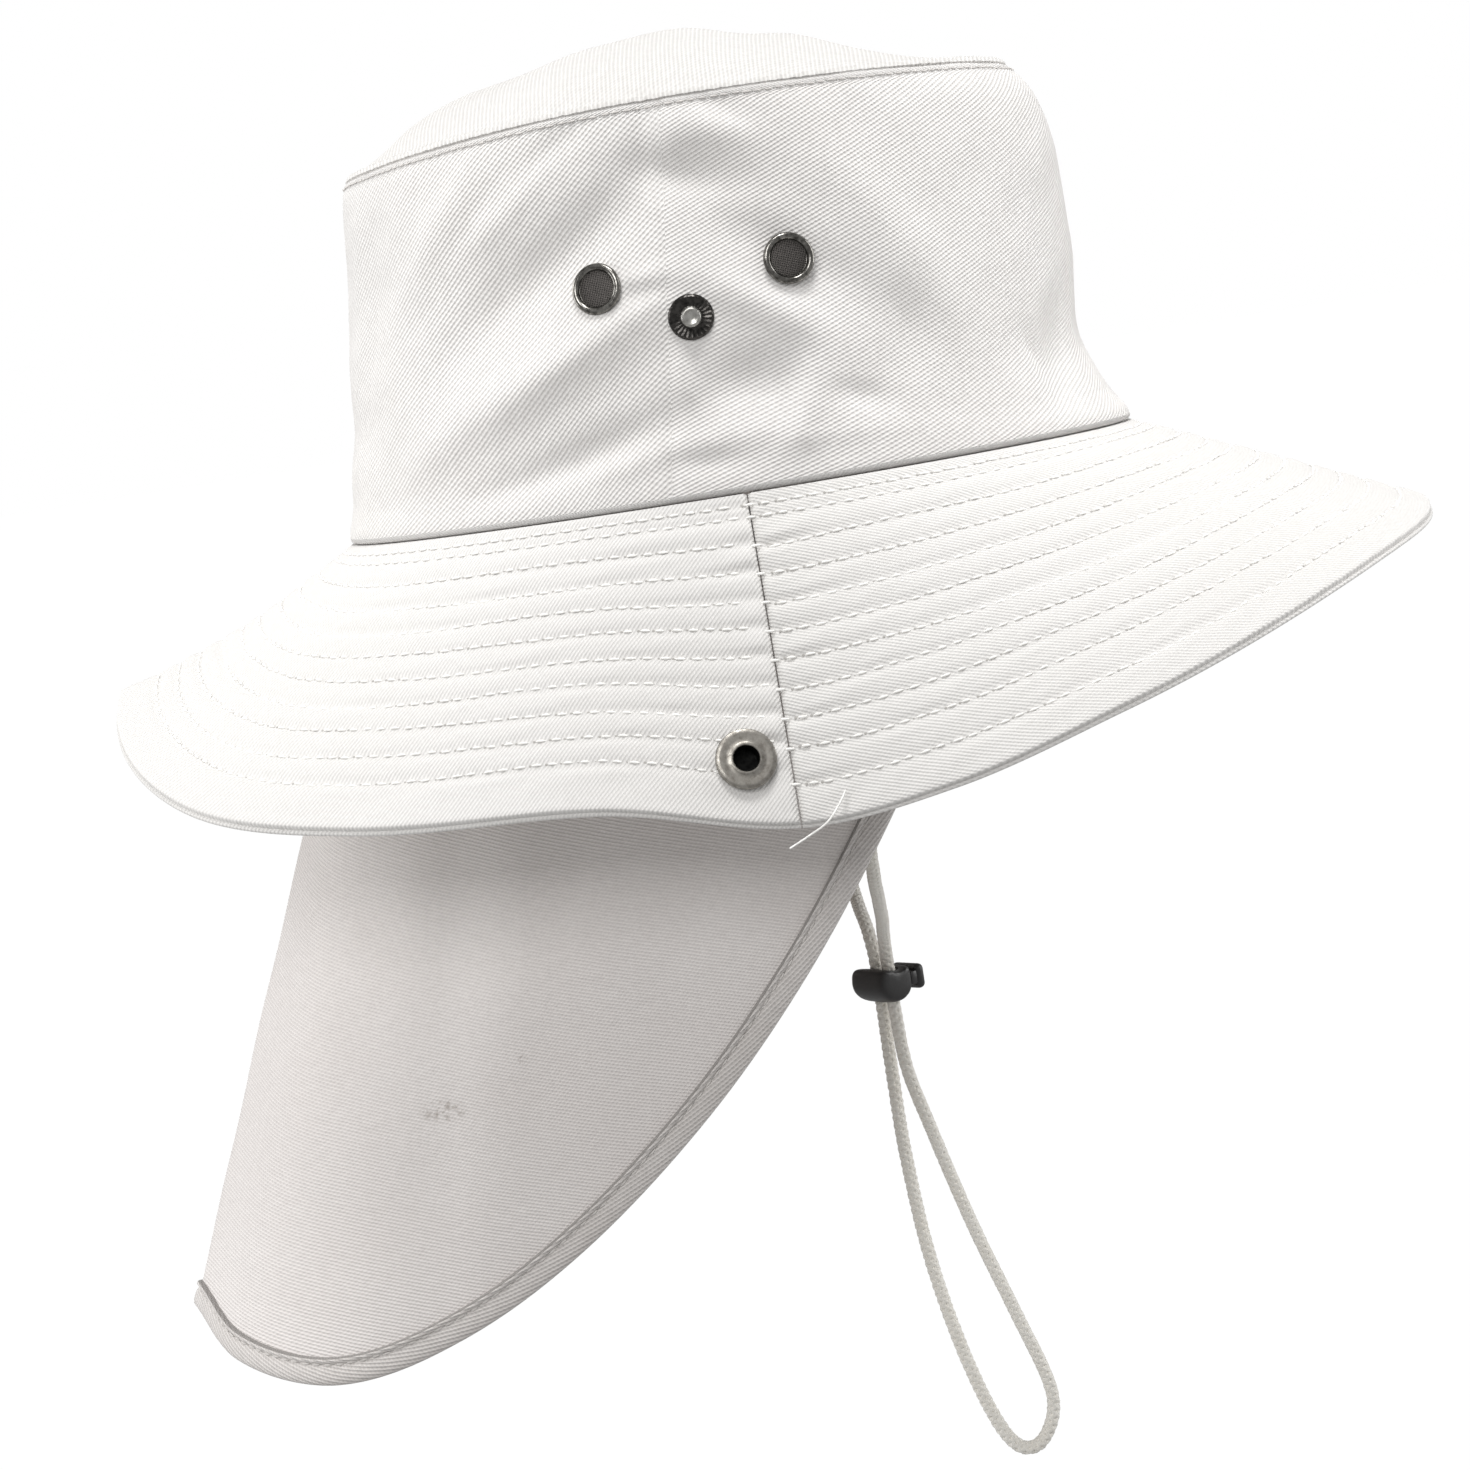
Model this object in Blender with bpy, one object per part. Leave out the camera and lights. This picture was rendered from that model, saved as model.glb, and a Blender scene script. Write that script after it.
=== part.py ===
"""Flap sun hat of cotton twill, with a stitched brim, a neck flap, snaps, vents and a chin cord.

Metres, +Z up. The origin is the centre of the head opening, level with the seam between crown
and brim. +X is the front and +Y is the wearer's left.
"""
import math
from collections import namedtuple

import bmesh
import bpy
from mathutils import Matrix, Vector
from mathutils.bvhtree import BVHTree

# Clearance between pieces that touch on the real hat
GAP = 0.0003

# Crown, outside sizes
HEAD_LENGTH = 0.204
HEAD_WIDTH = 0.162
CROWN_HEIGHT = 0.095
CROWN_CLOTH = 0.0016
TIP_LENGTH = 0.172
TIP_WIDTH = 0.144
TIP_SETBACK = 0.002
TIP_RISE = 0.020
TIP_LEDGE = 0.003
TOP_DIP_BACK = 0.0045
TOP_DIP_FRONT = 0.0015

# Brim
BRIM_WIDTH = 0.081
BRIM_CLOTH = 0.0024
SEAM_MARGIN = 0.0065

# Neck flap and the tape round its edge
FLAP_LENGTH = 0.212
FLAP_CLOTH = 0.0010
FLAP_INSET = 0.0036
TAPE_WIDTH = 0.0060
TAPE_CLOTH = 0.0010

# Vents: eyelets with a screen, a pair on each side
VENT_DIAMETER = 0.0125
VENT_SCREEN = 0.0086
VENT_BARREL = 0.0080
VENT_BORE = 0.0064
VENT_RIM = 0.0013
VENT_SPREAD = 0.046
VENT_BEHIND = 0.0043
VENT_HEIGHT = 0.0530

# Snaps: a stud on the crown and a socket on the brim, one of each a side
STUD_BEHIND = 0.0064
SOCKET_BEHIND = 0.0088
STUD_DIAMETER = 0.0110
STUD_PLATE = 0.0009
STUD_POST = 0.0046
STUD_LENGTH = 0.0032
STUD_SHANK = 0.0026
STUD_HEIGHT = 0.0430
SOCKET_DIAMETER = 0.0145
SOCKET_HOLE = 0.0050
SOCKET_BARREL = 0.0066
SOCKET_RIM = 0.0016
SOCKET_DOWN = 0.0655
SHANK_END = 0.0004

# Chin cord and its lock. The cord's two strands pass side by side through the lock
CORD_DIAMETER = 0.0038
LOCK_PLACE = (0.0165, 0.0, -0.1365)
LOCK_YAW = 38.0
LOCK_LENGTH = 0.0115
LOCK_WIDTH = 0.0138
LOCK_ABOVE = 0.0046
LOCK_BELOW = 0.0052
LOCK_EDGE = 0.0014
STRAND_SPACING = 0.0048
STEM_HEIGHT = 0.0036
STEM_WALL = 0.0008
KNOB_LENGTH = 0.0030
KNOB_HEIGHT = 0.0066
KNOB_EDGE = 0.0012
PLUNGER_TRAVEL = 0.0020

# Facets
CROWN_COLUMNS = 52
PANEL_COLUMNS = 30
FLAP_COLUMNS = 44
METAL_SIDES = 12
CORD_STEP = 2.6
BRIM_STEPS = 4

# How far off a wall the rays that find it start, and the length of the round hole cutters
RAY_START = 0.03
HOLE_CUTTER = 0.02

# Shares of the crown's height and of the flap's length over which their folds fade in from the
# seam, the tape row's slack, and the longest share of a flap line that the tape may cover
CROWN_FADE = 0.08
FLAP_FADE = 0.2
TAPE_SLACK = 1.2
TAPE_LIMIT = 0.8

# The crown wall's lean. height is the share of CROWN_HEIGHT; front, side and back are the share
# of the way in from the head oval to the tip's oval
WallRow = namedtuple("WallRow", "height front side back")
WALL_ROWS = (
    WallRow(0.000, 0.00, 0.00, 0.00),
    WallRow(0.025, 0.00, 0.00, 0.00),
    WallRow(0.100, 0.24, 0.10, 0.14),
    WallRow(0.220, 0.47, 0.22, 0.20),
    WallRow(0.360, 0.48, 0.34, 0.35),
    WallRow(0.500, 0.46, 0.46, 0.52),
    WallRow(0.640, 0.47, 0.58, 0.66),
    WallRow(0.780, 0.50, 0.70, 0.76),
    WallRow(0.900, 0.64, 0.82, 0.85),
    WallRow(0.965, 0.83, 0.92, 0.92),
    WallRow(1.000, 1.00, 1.00, 1.00),
)

# Folds and dents of the crown wall. round is the share of the way round from the front, by the
# wearer's left; height the share of CROWN_HEIGHT; lean the ridge's angle from level, in degrees;
# length, width and depth are shares of CROWN_HEIGHT, and a negative depth goes in
Fold = namedtuple("Fold", "round height lean length width depth")
CROWN_FOLDS = (
    Fold(0.672, 0.58, 48.0, 0.46, 0.13, -0.026),
    Fold(0.690, 0.36, 42.0, 0.38, 0.11, 0.022),
    Fold(0.700, 0.20, 16.0, 0.34, 0.09, -0.020),
    Fold(0.622, 0.42, 66.0, 0.36, 0.10, 0.020),
    Fold(0.745, 0.29, -35.0, 0.14, 0.11, -0.018),
    Fold(0.778, 0.36, 22.0, 0.26, 0.08, 0.012),
    Fold(0.742, 0.98, 90.0, 0.13, 0.06, -0.020),
    Fold(0.808, 0.72, 60.0, 0.30, 0.12, -0.012),
    Fold(0.850, 0.40, 70.0, 0.34, 0.12, 0.014),
    Fold(0.930, 0.22, 60.0, 0.20, 0.08, -0.020),
    Fold(0.000, 0.30, 4.0, 0.45, 0.10, -0.012),
    Fold(0.085, 0.48, -62.0, 0.36, 0.12, -0.018),
    Fold(0.150, 0.66, -50.0, 0.34, 0.12, 0.016),
    Fold(0.205, 0.42, -40.0, 0.38, 0.11, -0.022),
    Fold(0.290, 0.56, 44.0, 0.40, 0.12, -0.022),
    Fold(0.335, 0.24, -18.0, 0.34, 0.09, 0.018),
    Fold(0.420, 0.44, 70.0, 0.36, 0.11, -0.018),
    Fold(0.500, 0.32, -6.0, 0.44, 0.10, -0.014),
    Fold(0.560, 0.62, 78.0, 0.34, 0.10, -0.014),
)

# The tip's middle line. along is the share of half its length, front positive; rise the share
# of TIP_RISE
RidgeRow = namedtuple("RidgeRow", "along rise")
TIP_RIDGE = (
    RidgeRow(-1.00, 0.00),
    RidgeRow(-0.90, 0.20),
    RidgeRow(-0.80, 0.46),
    RidgeRow(-0.64, 0.69),
    RidgeRow(-0.44, 0.78),
    RidgeRow(-0.22, 0.93),
    RidgeRow(0.05, 0.98),
    RidgeRow(0.24, 0.76),
    RidgeRow(0.40, 0.68),
    RidgeRow(0.52, 0.50),
    RidgeRow(0.70, 0.18),
    RidgeRow(0.85, 0.05),
    RidgeRow(1.00, 0.00),
)
TIP_RINGS = (0.92, 0.76, 0.52, 0.26)

# Brim sections from the front round to the back, alike on both sides. round is the share of
# the way round; start and end the slope below level at the seam and at the edge, in degrees;
# width the share of BRIM_WIDTH
BrimSection = namedtuple("BrimSection", "round start end width")
BRIM_SECTIONS = (
    BrimSection(0.000, 23.0, 24.0, 1.00),
    BrimSection(0.070, 29.0, 31.0, 0.98),
    BrimSection(0.150, 47.0, 52.0, 0.99),
    BrimSection(0.200, 57.0, 67.0, 1.02),
    BrimSection(0.250, 65.0, 75.0, 1.02),
    BrimSection(0.312, 59.0, 60.0, 0.95),
    BrimSection(0.385, 50.0, 49.0, 1.02),
    BrimSection(0.435, 43.0, 36.0, 1.05),
    BrimSection(0.500, 32.0, 14.0, 0.90),
)
BRIM_ROWS = (0.06, 0.22, 0.41, 0.60, 0.80, 1.00)

# Flap sections from its front end to the middle of the back, alike on both sides. along is the
# share of the way, top the share of the way round the seam, x and y the hem's place as shares
# of HEAD_LENGTH and HEAD_WIDTH, drop the share of FLAP_LENGTH, and bow how far the cloth bellies
# out halfway down, as a share of FLAP_LENGTH
FlapSection = namedtuple("FlapSection", "along top x y drop bow")
FLAP_SECTIONS = (
    FlapSection(0.00, 0.150, 0.272, 0.418, 0.060, 0.000),
    FlapSection(0.12, 0.186, 0.185, 0.475, 0.255, 0.003),
    FlapSection(0.24, 0.220, 0.098, 0.490, 0.397, 0.008),
    FlapSection(0.36, 0.256, -0.030, 0.480, 0.560, 0.012),
    FlapSection(0.48, 0.294, -0.174, 0.464, 0.706, 0.014),
    FlapSection(0.60, 0.334, -0.342, 0.438, 0.836, 0.014),
    FlapSection(0.72, 0.376, -0.508, 0.408, 0.923, 0.012),
    FlapSection(0.83, 0.422, -0.665, 0.352, 0.962, 0.008),
    FlapSection(0.92, 0.462, -0.797, 0.190, 0.944, 0.002),
    FlapSection(1.00, 0.500, -0.864, 0.000, 0.905, 0.000),
)
FLAP_ROWS = (0.00, 0.10, 0.23, 0.37, 0.52, 0.67, 0.83, 1.00)

# Folds of the flap. along runs from the right front end (0) over the back (0.5) to the left
# front end (1); down is the share of the way down; lean, in degrees, is measured from straight
# down; length, width and depth are shares of FLAP_LENGTH
FlapFold = namedtuple("FlapFold", "along down lean length width depth")
FLAP_FOLDS = (
    FlapFold(0.425, 0.72, 0.0, 0.42, 0.050, 0.018),
    FlapFold(0.375, 0.66, 4.0, 0.36, 0.080, -0.016),
    FlapFold(0.270, 0.46, -18.0, 0.30, 0.110, 0.014),
    FlapFold(0.190, 0.60, -30.0, 0.24, 0.080, -0.010),
    FlapFold(0.585, 0.70, -4.0, 0.40, 0.060, 0.018),
    FlapFold(0.650, 0.60, 8.0, 0.34, 0.090, -0.016),
    FlapFold(0.760, 0.50, 20.0, 0.28, 0.100, 0.012),
)

# The cord's route, in metres, from the right seam through the lock, round the loop, back
# through the lock and up to the left seam
CORD_ROUTE = (
    (0.0300, -0.0702, -0.0047),
    (0.0298, -0.0704, -0.0180),
    (0.0272, -0.0722, -0.0420),
    (0.0215, -0.0738, -0.0670),
    (0.0165, -0.0720, -0.0860),
    (0.0162, -0.0610, -0.0985),
    (0.0170, -0.0420, -0.1080),
    (0.0178, -0.0210, -0.1160),
    (0.0180, -0.0060, -0.1225),
    (0.01798, -0.0021, -0.1290),
    (0.01798, -0.00189, -0.1340),
    (0.01798, -0.00189, -0.1390),
    (0.01798, -0.00189, -0.1440),
    (0.0188, -0.0022, -0.1600),
    (0.0225, -0.0025, -0.1765),
    (0.0290, -0.0026, -0.2025),
    (0.0365, -0.0024, -0.2275),
    (0.0425, -0.0018, -0.2475),
    (0.0430, -0.0008, -0.2580),
    (0.0385, 0.0004, -0.2662),
    (0.0325, 0.0010, -0.2662),
    (0.0272, 0.0016, -0.2570),
    (0.0215, 0.0022, -0.2370),
    (0.0170, 0.0025, -0.2115),
    (0.0150, 0.0025, -0.1845),
    (0.0148, 0.0022, -0.1620),
    (0.01502, 0.00189, -0.1440),
    (0.01502, 0.00189, -0.1390),
    (0.01502, 0.00189, -0.1340),
    (0.01502, 0.0021, -0.1290),
    (0.0143, 0.0060, -0.1225),
    (0.0130, 0.0210, -0.1160),
    (0.0124, 0.0420, -0.1080),
    (0.0130, 0.0610, -0.0985),
    (0.0155, 0.0720, -0.0860),
    (0.0215, 0.0738, -0.0670),
    (0.0272, 0.0722, -0.0420),
    (0.0298, 0.0704, -0.0180),
    (0.0300, 0.0702, -0.0047),
)

# Colour, roughness and metallic value of each material
MATERIALS = {
    "twill": ((0.80, 0.78, 0.75), 0.85, 0.0),
    "brim_twill": ((0.84, 0.83, 0.80), 0.85, 0.0),
    "flap_twill": ((0.72, 0.68, 0.65), 0.88, 0.0),
    "tape": ((0.64, 0.60, 0.57), 0.85, 0.0),
    "nickel": ((0.42, 0.40, 0.37), 0.35, 1.0),
    "cord": ((0.82, 0.79, 0.72), 0.90, 0.0),
    "black_plastic": ((0.035, 0.033, 0.032), 0.50, 0.0),
}


def read(table, key, column):
    """A column's value at a key, eased between the rows; the first column holds the keys."""
    keys = [row[0] for row in table]
    values = [getattr(row, column) for row in table]
    if key <= keys[0]:
        return values[0]
    if key >= keys[-1]:
        return values[-1]
    i = max(n for n in range(len(keys) - 1) if keys[n] <= key)

    def slope(n):
        low, high = max(n - 1, 0), min(n + 1, len(keys) - 1)
        return (values[high] - values[low]) / (keys[high] - keys[low])

    span = keys[i + 1] - keys[i]
    t = (key - keys[i]) / span
    return ((2 * t**3 - 3 * t**2 + 1) * values[i] + (t**3 - 2 * t**2 + t) * span * slope(i)
            + (3 * t**2 - 2 * t**3) * values[i + 1] + (t**3 - t**2) * span * slope(i + 1))


def head_oval(steps=720):
    """Angles and running length of the head oval, from the front by the wearer's left."""
    angles = [2 * math.pi * i / steps for i in range(steps + 1)]
    points = [Vector((HEAD_LENGTH / 2 * math.cos(a), HEAD_WIDTH / 2 * math.sin(a))) for a in angles]
    lengths = [0.0]
    for here, after in zip(points, points[1:]):
        lengths.append(lengths[-1] + (after - here).length)
    return angles, lengths


OVAL_ANGLES, OVAL_LENGTHS = head_oval()
HEAD_GIRTH = OVAL_LENGTHS[-1]


def angle_at(share):
    """The oval's angle at a share of the way round it."""
    length = (share % 1.0) * HEAD_GIRTH
    i = min(sum(1 for v in OVAL_LENGTHS if v <= length), len(OVAL_LENGTHS) - 1)
    low, high = OVAL_LENGTHS[i - 1], OVAL_LENGTHS[i]
    return OVAL_ANGLES[i - 1] + (OVAL_ANGLES[i] - OVAL_ANGLES[i - 1]) * (length - low) / (high - low)


def seam_point(share):
    """The point of the head oval at a share of the way round, and its outward direction."""
    angle = angle_at(share)
    point = Vector((HEAD_LENGTH / 2 * math.cos(angle), HEAD_WIDTH / 2 * math.sin(angle), 0.0))
    out = Vector((math.cos(angle) / HEAD_LENGTH, math.sin(angle) / HEAD_WIDTH, 0.0)).normalized()
    return point, out


def bump(across_run, rise, fold, size):
    """A fold's height at a distance along the wall and up it from the fold's middle."""
    lean = math.radians(fold.lean)
    along = across_run * math.cos(lean) + rise * math.sin(lean)
    across = rise * math.cos(lean) - across_run * math.sin(lean)
    return fold.depth * size * math.exp(-(along / (fold.length * size)) ** 2
                                        - (across / (fold.width * size)) ** 2)


def crown_point(share, height):
    """A point of the crown wall's outside."""
    angle = angle_at(share)
    base, out = seam_point(share)
    tip = Vector((TIP_LENGTH / 2 * math.cos(angle), TIP_WIDTH / 2 * math.sin(angle), 0.0))
    tip.x -= TIP_SETBACK
    facing = math.cos(angle)
    front, back = max(facing, 0.0) ** 2, max(-facing, 0.0) ** 2
    lean = (front * read(WALL_ROWS, height, "front") + back * read(WALL_ROWS, height, "back")
            + (1.0 - front - back) * read(WALL_ROWS, height, "side"))
    depth = 0.0
    for fold in CROWN_FOLDS:
        run = ((share - fold.round + 0.5) % 1.0 - 0.5) * HEAD_GIRTH
        depth += bump(run, (height - fold.height) * CROWN_HEIGHT, fold, CROWN_HEIGHT)
    eased = min(max((height - WALL_ROWS[1].height) / CROWN_FADE, 0.0), 1.0)
    point = base.lerp(tip, lean) + out * depth * eased
    point.z = height * (CROWN_HEIGHT - TOP_DIP_FRONT * front - TOP_DIP_BACK * back)
    return point


def material(name):
    """The named material, made once."""
    if name in bpy.data.materials:
        return bpy.data.materials[name]
    colour, roughness, metallic = MATERIALS[name]
    made = bpy.data.materials.new(name)
    made.use_nodes = True
    shader = made.node_tree.nodes["Principled BSDF"]
    shader.inputs["Base Color"].default_value = (*colour, 1.0)
    shader.inputs["Roughness"].default_value = roughness
    shader.inputs["Metallic"].default_value = metallic
    return made


def add_object(name, bm, material_name, smooth=True):
    """Turn a bmesh into a named object with its material."""
    mesh = bpy.data.meshes.new(name)
    bm.to_mesh(mesh)
    bm.free()
    if smooth:
        mesh.shade_smooth()
        mesh.set_sharp_from_angle(angle=math.radians(40))
    thing = bpy.data.objects.new(name, mesh)
    bpy.context.collection.objects.link(thing)
    if material_name:
        mesh.materials.append(material(material_name))
    return thing


def cutter(name, bm):
    """A hidden object that only cuts or joins others."""
    thing = add_object(name, bm, None, smooth=False)
    thing.hide_render = True
    thing.display_type = "WIRE"
    return thing


def sheet(rows, closed=False):
    """A triangulated sheet through rows of points; rows run across it, facing out or up."""
    bm = bmesh.new()
    grid = [[bm.verts.new(point) for point in row] for row in rows]
    count = len(rows[0])
    for lower, upper in zip(grid, grid[1:]):
        for i in range(count if closed else count - 1):
            j = (i + 1) % count
            bm.faces.new((lower[i], lower[j], upper[j], upper[i]))
    bmesh.ops.triangulate(bm, faces=bm.faces[:])
    bm.normal_update()
    return bm, grid


def thicken(thing, thickness, offset):
    """Give a sheet its wall: offset -1 lies behind the sheet, 0 on both sides of it."""
    wall = thing.modifiers.new("wall", "SOLIDIFY")
    wall.thickness = thickness
    wall.offset = offset
    wall.use_even_offset = True
    wall.use_quality_normals = True


def boolean(thing, tool, operation):
    """Cut or join with a hidden object."""
    made = thing.modifiers.new(operation.lower(), "BOOLEAN")
    made.object = tool
    made.operation = operation
    made.solver = "EXACT"


def turned(name, profile, material_name, place):
    """A piece turned round its own Z axis from a profile of radius and height."""
    bm = bmesh.new()
    verts = [bm.verts.new((radius, 0.0, height)) for radius, height in profile]
    edges = [bm.edges.new(pair) for pair in zip(verts, verts[1:])]
    if profile[0][0] > 0.0:
        edges.append(bm.edges.new((verts[-1], verts[0])))
    bmesh.ops.spin(bm, geom=verts + edges, axis=(0, 0, 1), cent=(0, 0, 0),
                   steps=METAL_SIDES, angle=2 * math.pi, use_merge=True)
    bmesh.ops.remove_doubles(bm, verts=bm.verts[:], dist=1e-6)
    bmesh.ops.recalc_face_normals(bm, faces=bm.faces[:])
    thing = add_object(name, bm, material_name)
    thing.matrix_world = place
    return thing


def seat(tree, start, towards, radius):
    """The place of a round plate that lies GAP off a faceted wall, its own Z axis outwards."""
    middle, normal = tree.ray_cast(start, towards)[:2]
    side = normal.orthogonal().normalized()
    spots = [middle]
    normals = []
    for ring in (0.5, 1.0):
        for i in range(METAL_SIDES):
            turn = Matrix.Rotation(2 * math.pi * i / METAL_SIDES, 3, normal)
            spot = middle + turn @ side * radius * ring - towards * RAY_START
            hit, facing = tree.ray_cast(spot, towards)[:2]
            spots.append(hit)
            normals.append(facing)
    normal = sum(normals, Vector()).normalized()
    height = max((spot - middle).dot(normal) for spot in spots) + GAP
    turn = Vector((0, 0, 1)).rotation_difference(normal).to_matrix().to_4x4()
    return Matrix.Translation(middle + normal * height) @ turn


def add_holes(name, target, places, diameter_of):
    """Round holes through a wall at each place."""
    bm = bmesh.new()
    for key, place in places.items():
        radius = diameter_of(key) / 2 + GAP
        bmesh.ops.create_cone(bm, cap_ends=True, segments=METAL_SIDES, radius1=radius,
                              radius2=radius, depth=HOLE_CUTTER, matrix=place)
    boolean(target, cutter(name, bm), "DIFFERENCE")


def build_crown_side():
    """The crown's wall, and the places of its vents and studs."""
    rows = [[crown_point(i / CROWN_COLUMNS, row.height) for i in range(CROWN_COLUMNS)]
            for row in WALL_ROWS]
    bm, _ = sheet(rows, closed=True)
    tree = BVHTree.FromBMesh(bm)
    wall = add_object("crown_side", bm, "twill")
    thicken(wall, CROWN_CLOTH, -1.0)
    places = {}
    for side, sign in (("right", -1), ("left", 1)):
        spots = {
            f"vent_{side}_front": (VENT_SPREAD / 2 - VENT_BEHIND, VENT_HEIGHT, VENT_DIAMETER),
            f"vent_{side}_back": (-VENT_SPREAD / 2 - VENT_BEHIND, VENT_HEIGHT, VENT_DIAMETER),
            f"snap_stud_{side}": (-STUD_BEHIND, STUD_HEIGHT, STUD_DIAMETER),
        }
        for name, (x, z, diameter) in spots.items():
            start = Vector((x, sign * HEAD_WIDTH, z))
            places[name] = seat(tree, start, Vector((0, -sign, 0)), diameter / 2)
    add_holes("crown_holes", wall, places,
              lambda name: VENT_BARREL if name.startswith("vent") else STUD_SHANK)
    return places


def build_crown_tip():
    """The domed top panel, on a narrow ledge over the crown wall's top edge."""
    middle = Vector((-TIP_SETBACK, 0.0, CROWN_HEIGHT))
    half_length, half_width = TIP_LENGTH / 2, TIP_WIDTH / 2
    ledge = 1.0 - TIP_LEDGE / half_width
    edge = [crown_point(i / CROWN_COLUMNS, 1.0) for i in range(CROWN_COLUMNS)]

    def rise(point):
        along = (point.x - middle.x) / (half_length * ledge)
        across = abs(point.y) / (half_width * ledge * math.sqrt(max(1.0 - along * along, 1e-9)))
        return TIP_RISE * read(TIP_RIDGE, along, "rise") * max(1.0 - across * across, 0.0) ** 0.8

    def ring(share):
        points = [middle.lerp(spot, share) for spot in edge]
        for point, spot in zip(points, edge):
            point.z = (spot.z if share >= ledge else point.z + rise(point)) + GAP + CROWN_CLOTH
        return points

    rows = [ring(share) for share in (1.0, ledge) + tuple(share * ledge for share in TIP_RINGS)]
    bm, grid = sheet(rows, closed=True)
    top = bm.verts.new(middle + Vector((0.0, 0.0, GAP + CROWN_CLOTH + rise(middle))))
    last = grid[-1]
    for i, vert in enumerate(last):
        bm.faces.new((vert, last[(i + 1) % len(last)], top))
    bm.normal_update()
    thicken(add_object("crown_tip", bm, "twill"), CROWN_CLOTH, -1.0)


def brim_line(share):
    """The brim's upper line at a share of the way round: its points from the margin out."""
    base, out = seam_point(share)
    around = min(share % 1.0, 1.0 - share % 1.0)
    width = BRIM_WIDTH * read(BRIM_SECTIONS, around, "width")
    start = math.radians(read(BRIM_SECTIONS, around, "start"))
    end = math.radians(read(BRIM_SECTIONS, around, "end"))
    top = Vector((0.0, 0.0, -GAP))
    points = [base - out * SEAM_MARGIN + top, base + top]
    point = points[-1].copy()
    done = 0.0
    for row in BRIM_ROWS:
        for i in range(BRIM_STEPS):
            slope = start + (end - start) * (done + (row - done) * (i + 0.5) / BRIM_STEPS)
            way = out * math.cos(slope) - Vector((0, 0, math.sin(slope)))
            point += way * width * (row - done) / BRIM_STEPS
        done = row
        points.append(point.copy())
    return points


def build_brim_panel(name, first, last):
    """One brim panel, from one side seam round to the other."""
    slack = GAP / 2 / HEAD_GIRTH
    shares = [first + slack + (last - first - 2 * slack) * i / PANEL_COLUMNS
              for i in range(PANEL_COLUMNS + 1)]
    lines = [brim_line(share) for share in shares]
    rows = [[line[i] for line in lines] for i in range(len(lines[0]))]
    bm, _ = sheet(rows[::-1])
    tree = BVHTree.FromBMesh(bm)
    panel = add_object(name, bm, "brim_twill")
    thicken(panel, BRIM_CLOTH, -1.0)
    return panel, tree


def socket_places(tree):
    """Where the snap sockets sit on the back brim panel."""
    places = {}
    for side, sign, middle in (("right", -1, 0.75), ("left", 1, 0.25)):
        share = middle + sign * SOCKET_BEHIND / HEAD_GIRTH
        around = min(share % 1.0, 1.0 - share % 1.0)
        base, out = seam_point(share)
        slope = math.radians(read(BRIM_SECTIONS, around, "start")
                             + (read(BRIM_SECTIONS, around, "end")
                                - read(BRIM_SECTIONS, around, "start")) * SOCKET_DOWN / BRIM_WIDTH / 2)
        spot = base + (out * math.cos(slope) - Vector((0, 0, math.sin(slope)))) * SOCKET_DOWN
        facing = out * math.sin(slope) + Vector((0, 0, math.cos(slope)))
        start = spot + facing * RAY_START
        places[f"snap_socket_{side}"] = seat(tree, start, -facing, SOCKET_DIAMETER / 2)
    return places


def flap_column(whole):
    """Seam point, outward direction, top and hem of one line down the flap, and its belly."""
    sign = -1 if whole <= 0.5 else 1
    along = 1.0 - abs(2.0 * whole - 1.0)
    share = read(FLAP_SECTIONS, along, "top")
    base, out = seam_point(share if sign > 0 else 1.0 - share)
    base.z = -(GAP + BRIM_CLOTH + GAP + FLAP_CLOTH / 2)
    hem = Vector((HEAD_LENGTH * read(FLAP_SECTIONS, along, "x"),
                  sign * HEAD_WIDTH * read(FLAP_SECTIONS, along, "y"),
                  -FLAP_LENGTH * read(FLAP_SECTIONS, along, "drop")))
    return base, out, base - out * FLAP_INSET, hem, FLAP_LENGTH * read(FLAP_SECTIONS, along, "bow")


def tape_reach(column, run):
    """How far the tape reaches up a column whose hem runs askew."""
    return TAPE_WIDTH / column.normalized().cross(run.normalized()).length


def build_flap():
    """The neck flap and the tape folded over its hem."""
    shares = [i / FLAP_COLUMNS for i in range(FLAP_COLUMNS + 1)]
    lines = [flap_column(whole) for whole in shares]
    hems = [line[3] for line in lines]
    columns = []
    bound = []
    for i, (whole, (base, out, top, hem, bow)) in enumerate(zip(shares, lines)):
        length = (hem - top).length
        run = hems[min(i + 1, FLAP_COLUMNS)] - hems[max(i - 1, 0)]
        held = min(tape_reach(top - hem, run) * TAPE_SLACK / length, TAPE_LIMIT)
        column = [base - out * SEAM_MARGIN]
        for row in FLAP_ROWS + (None,):
            down = 1.0 if row is None else row * (1.0 - held)
            depth = bow * math.sin(math.pi * down)
            for fold in FLAP_FOLDS:
                across = (whole - fold.along) * 2.0 * HEAD_LENGTH
                rise = (fold.down - down) * length
                tilted = fold._replace(lean=90.0 + fold.lean)
                depth += min(down / FLAP_FADE, 1.0) * bump(across, rise, tilted, FLAP_LENGTH)
            column.append(top.lerp(hem, down) + out * depth)
        columns.append(column)
        bound.append(held < TAPE_LIMIT)
    rows = [[column[i] for column in columns] for i in range(len(columns[0]))]
    bm, grid = sheet(rows[::-1])
    hem_line = [(vert.co.copy(), vert.normal.copy()) for vert, used in zip(grid[0], bound) if used]
    inner_line = [vert.co.copy() for vert, used in zip(grid[1], bound) if used]
    thicken(add_object("flap", bm, "flap_twill"), FLAP_CLOTH, 0.0)
    build_tape(hem_line, inner_line)


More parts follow.
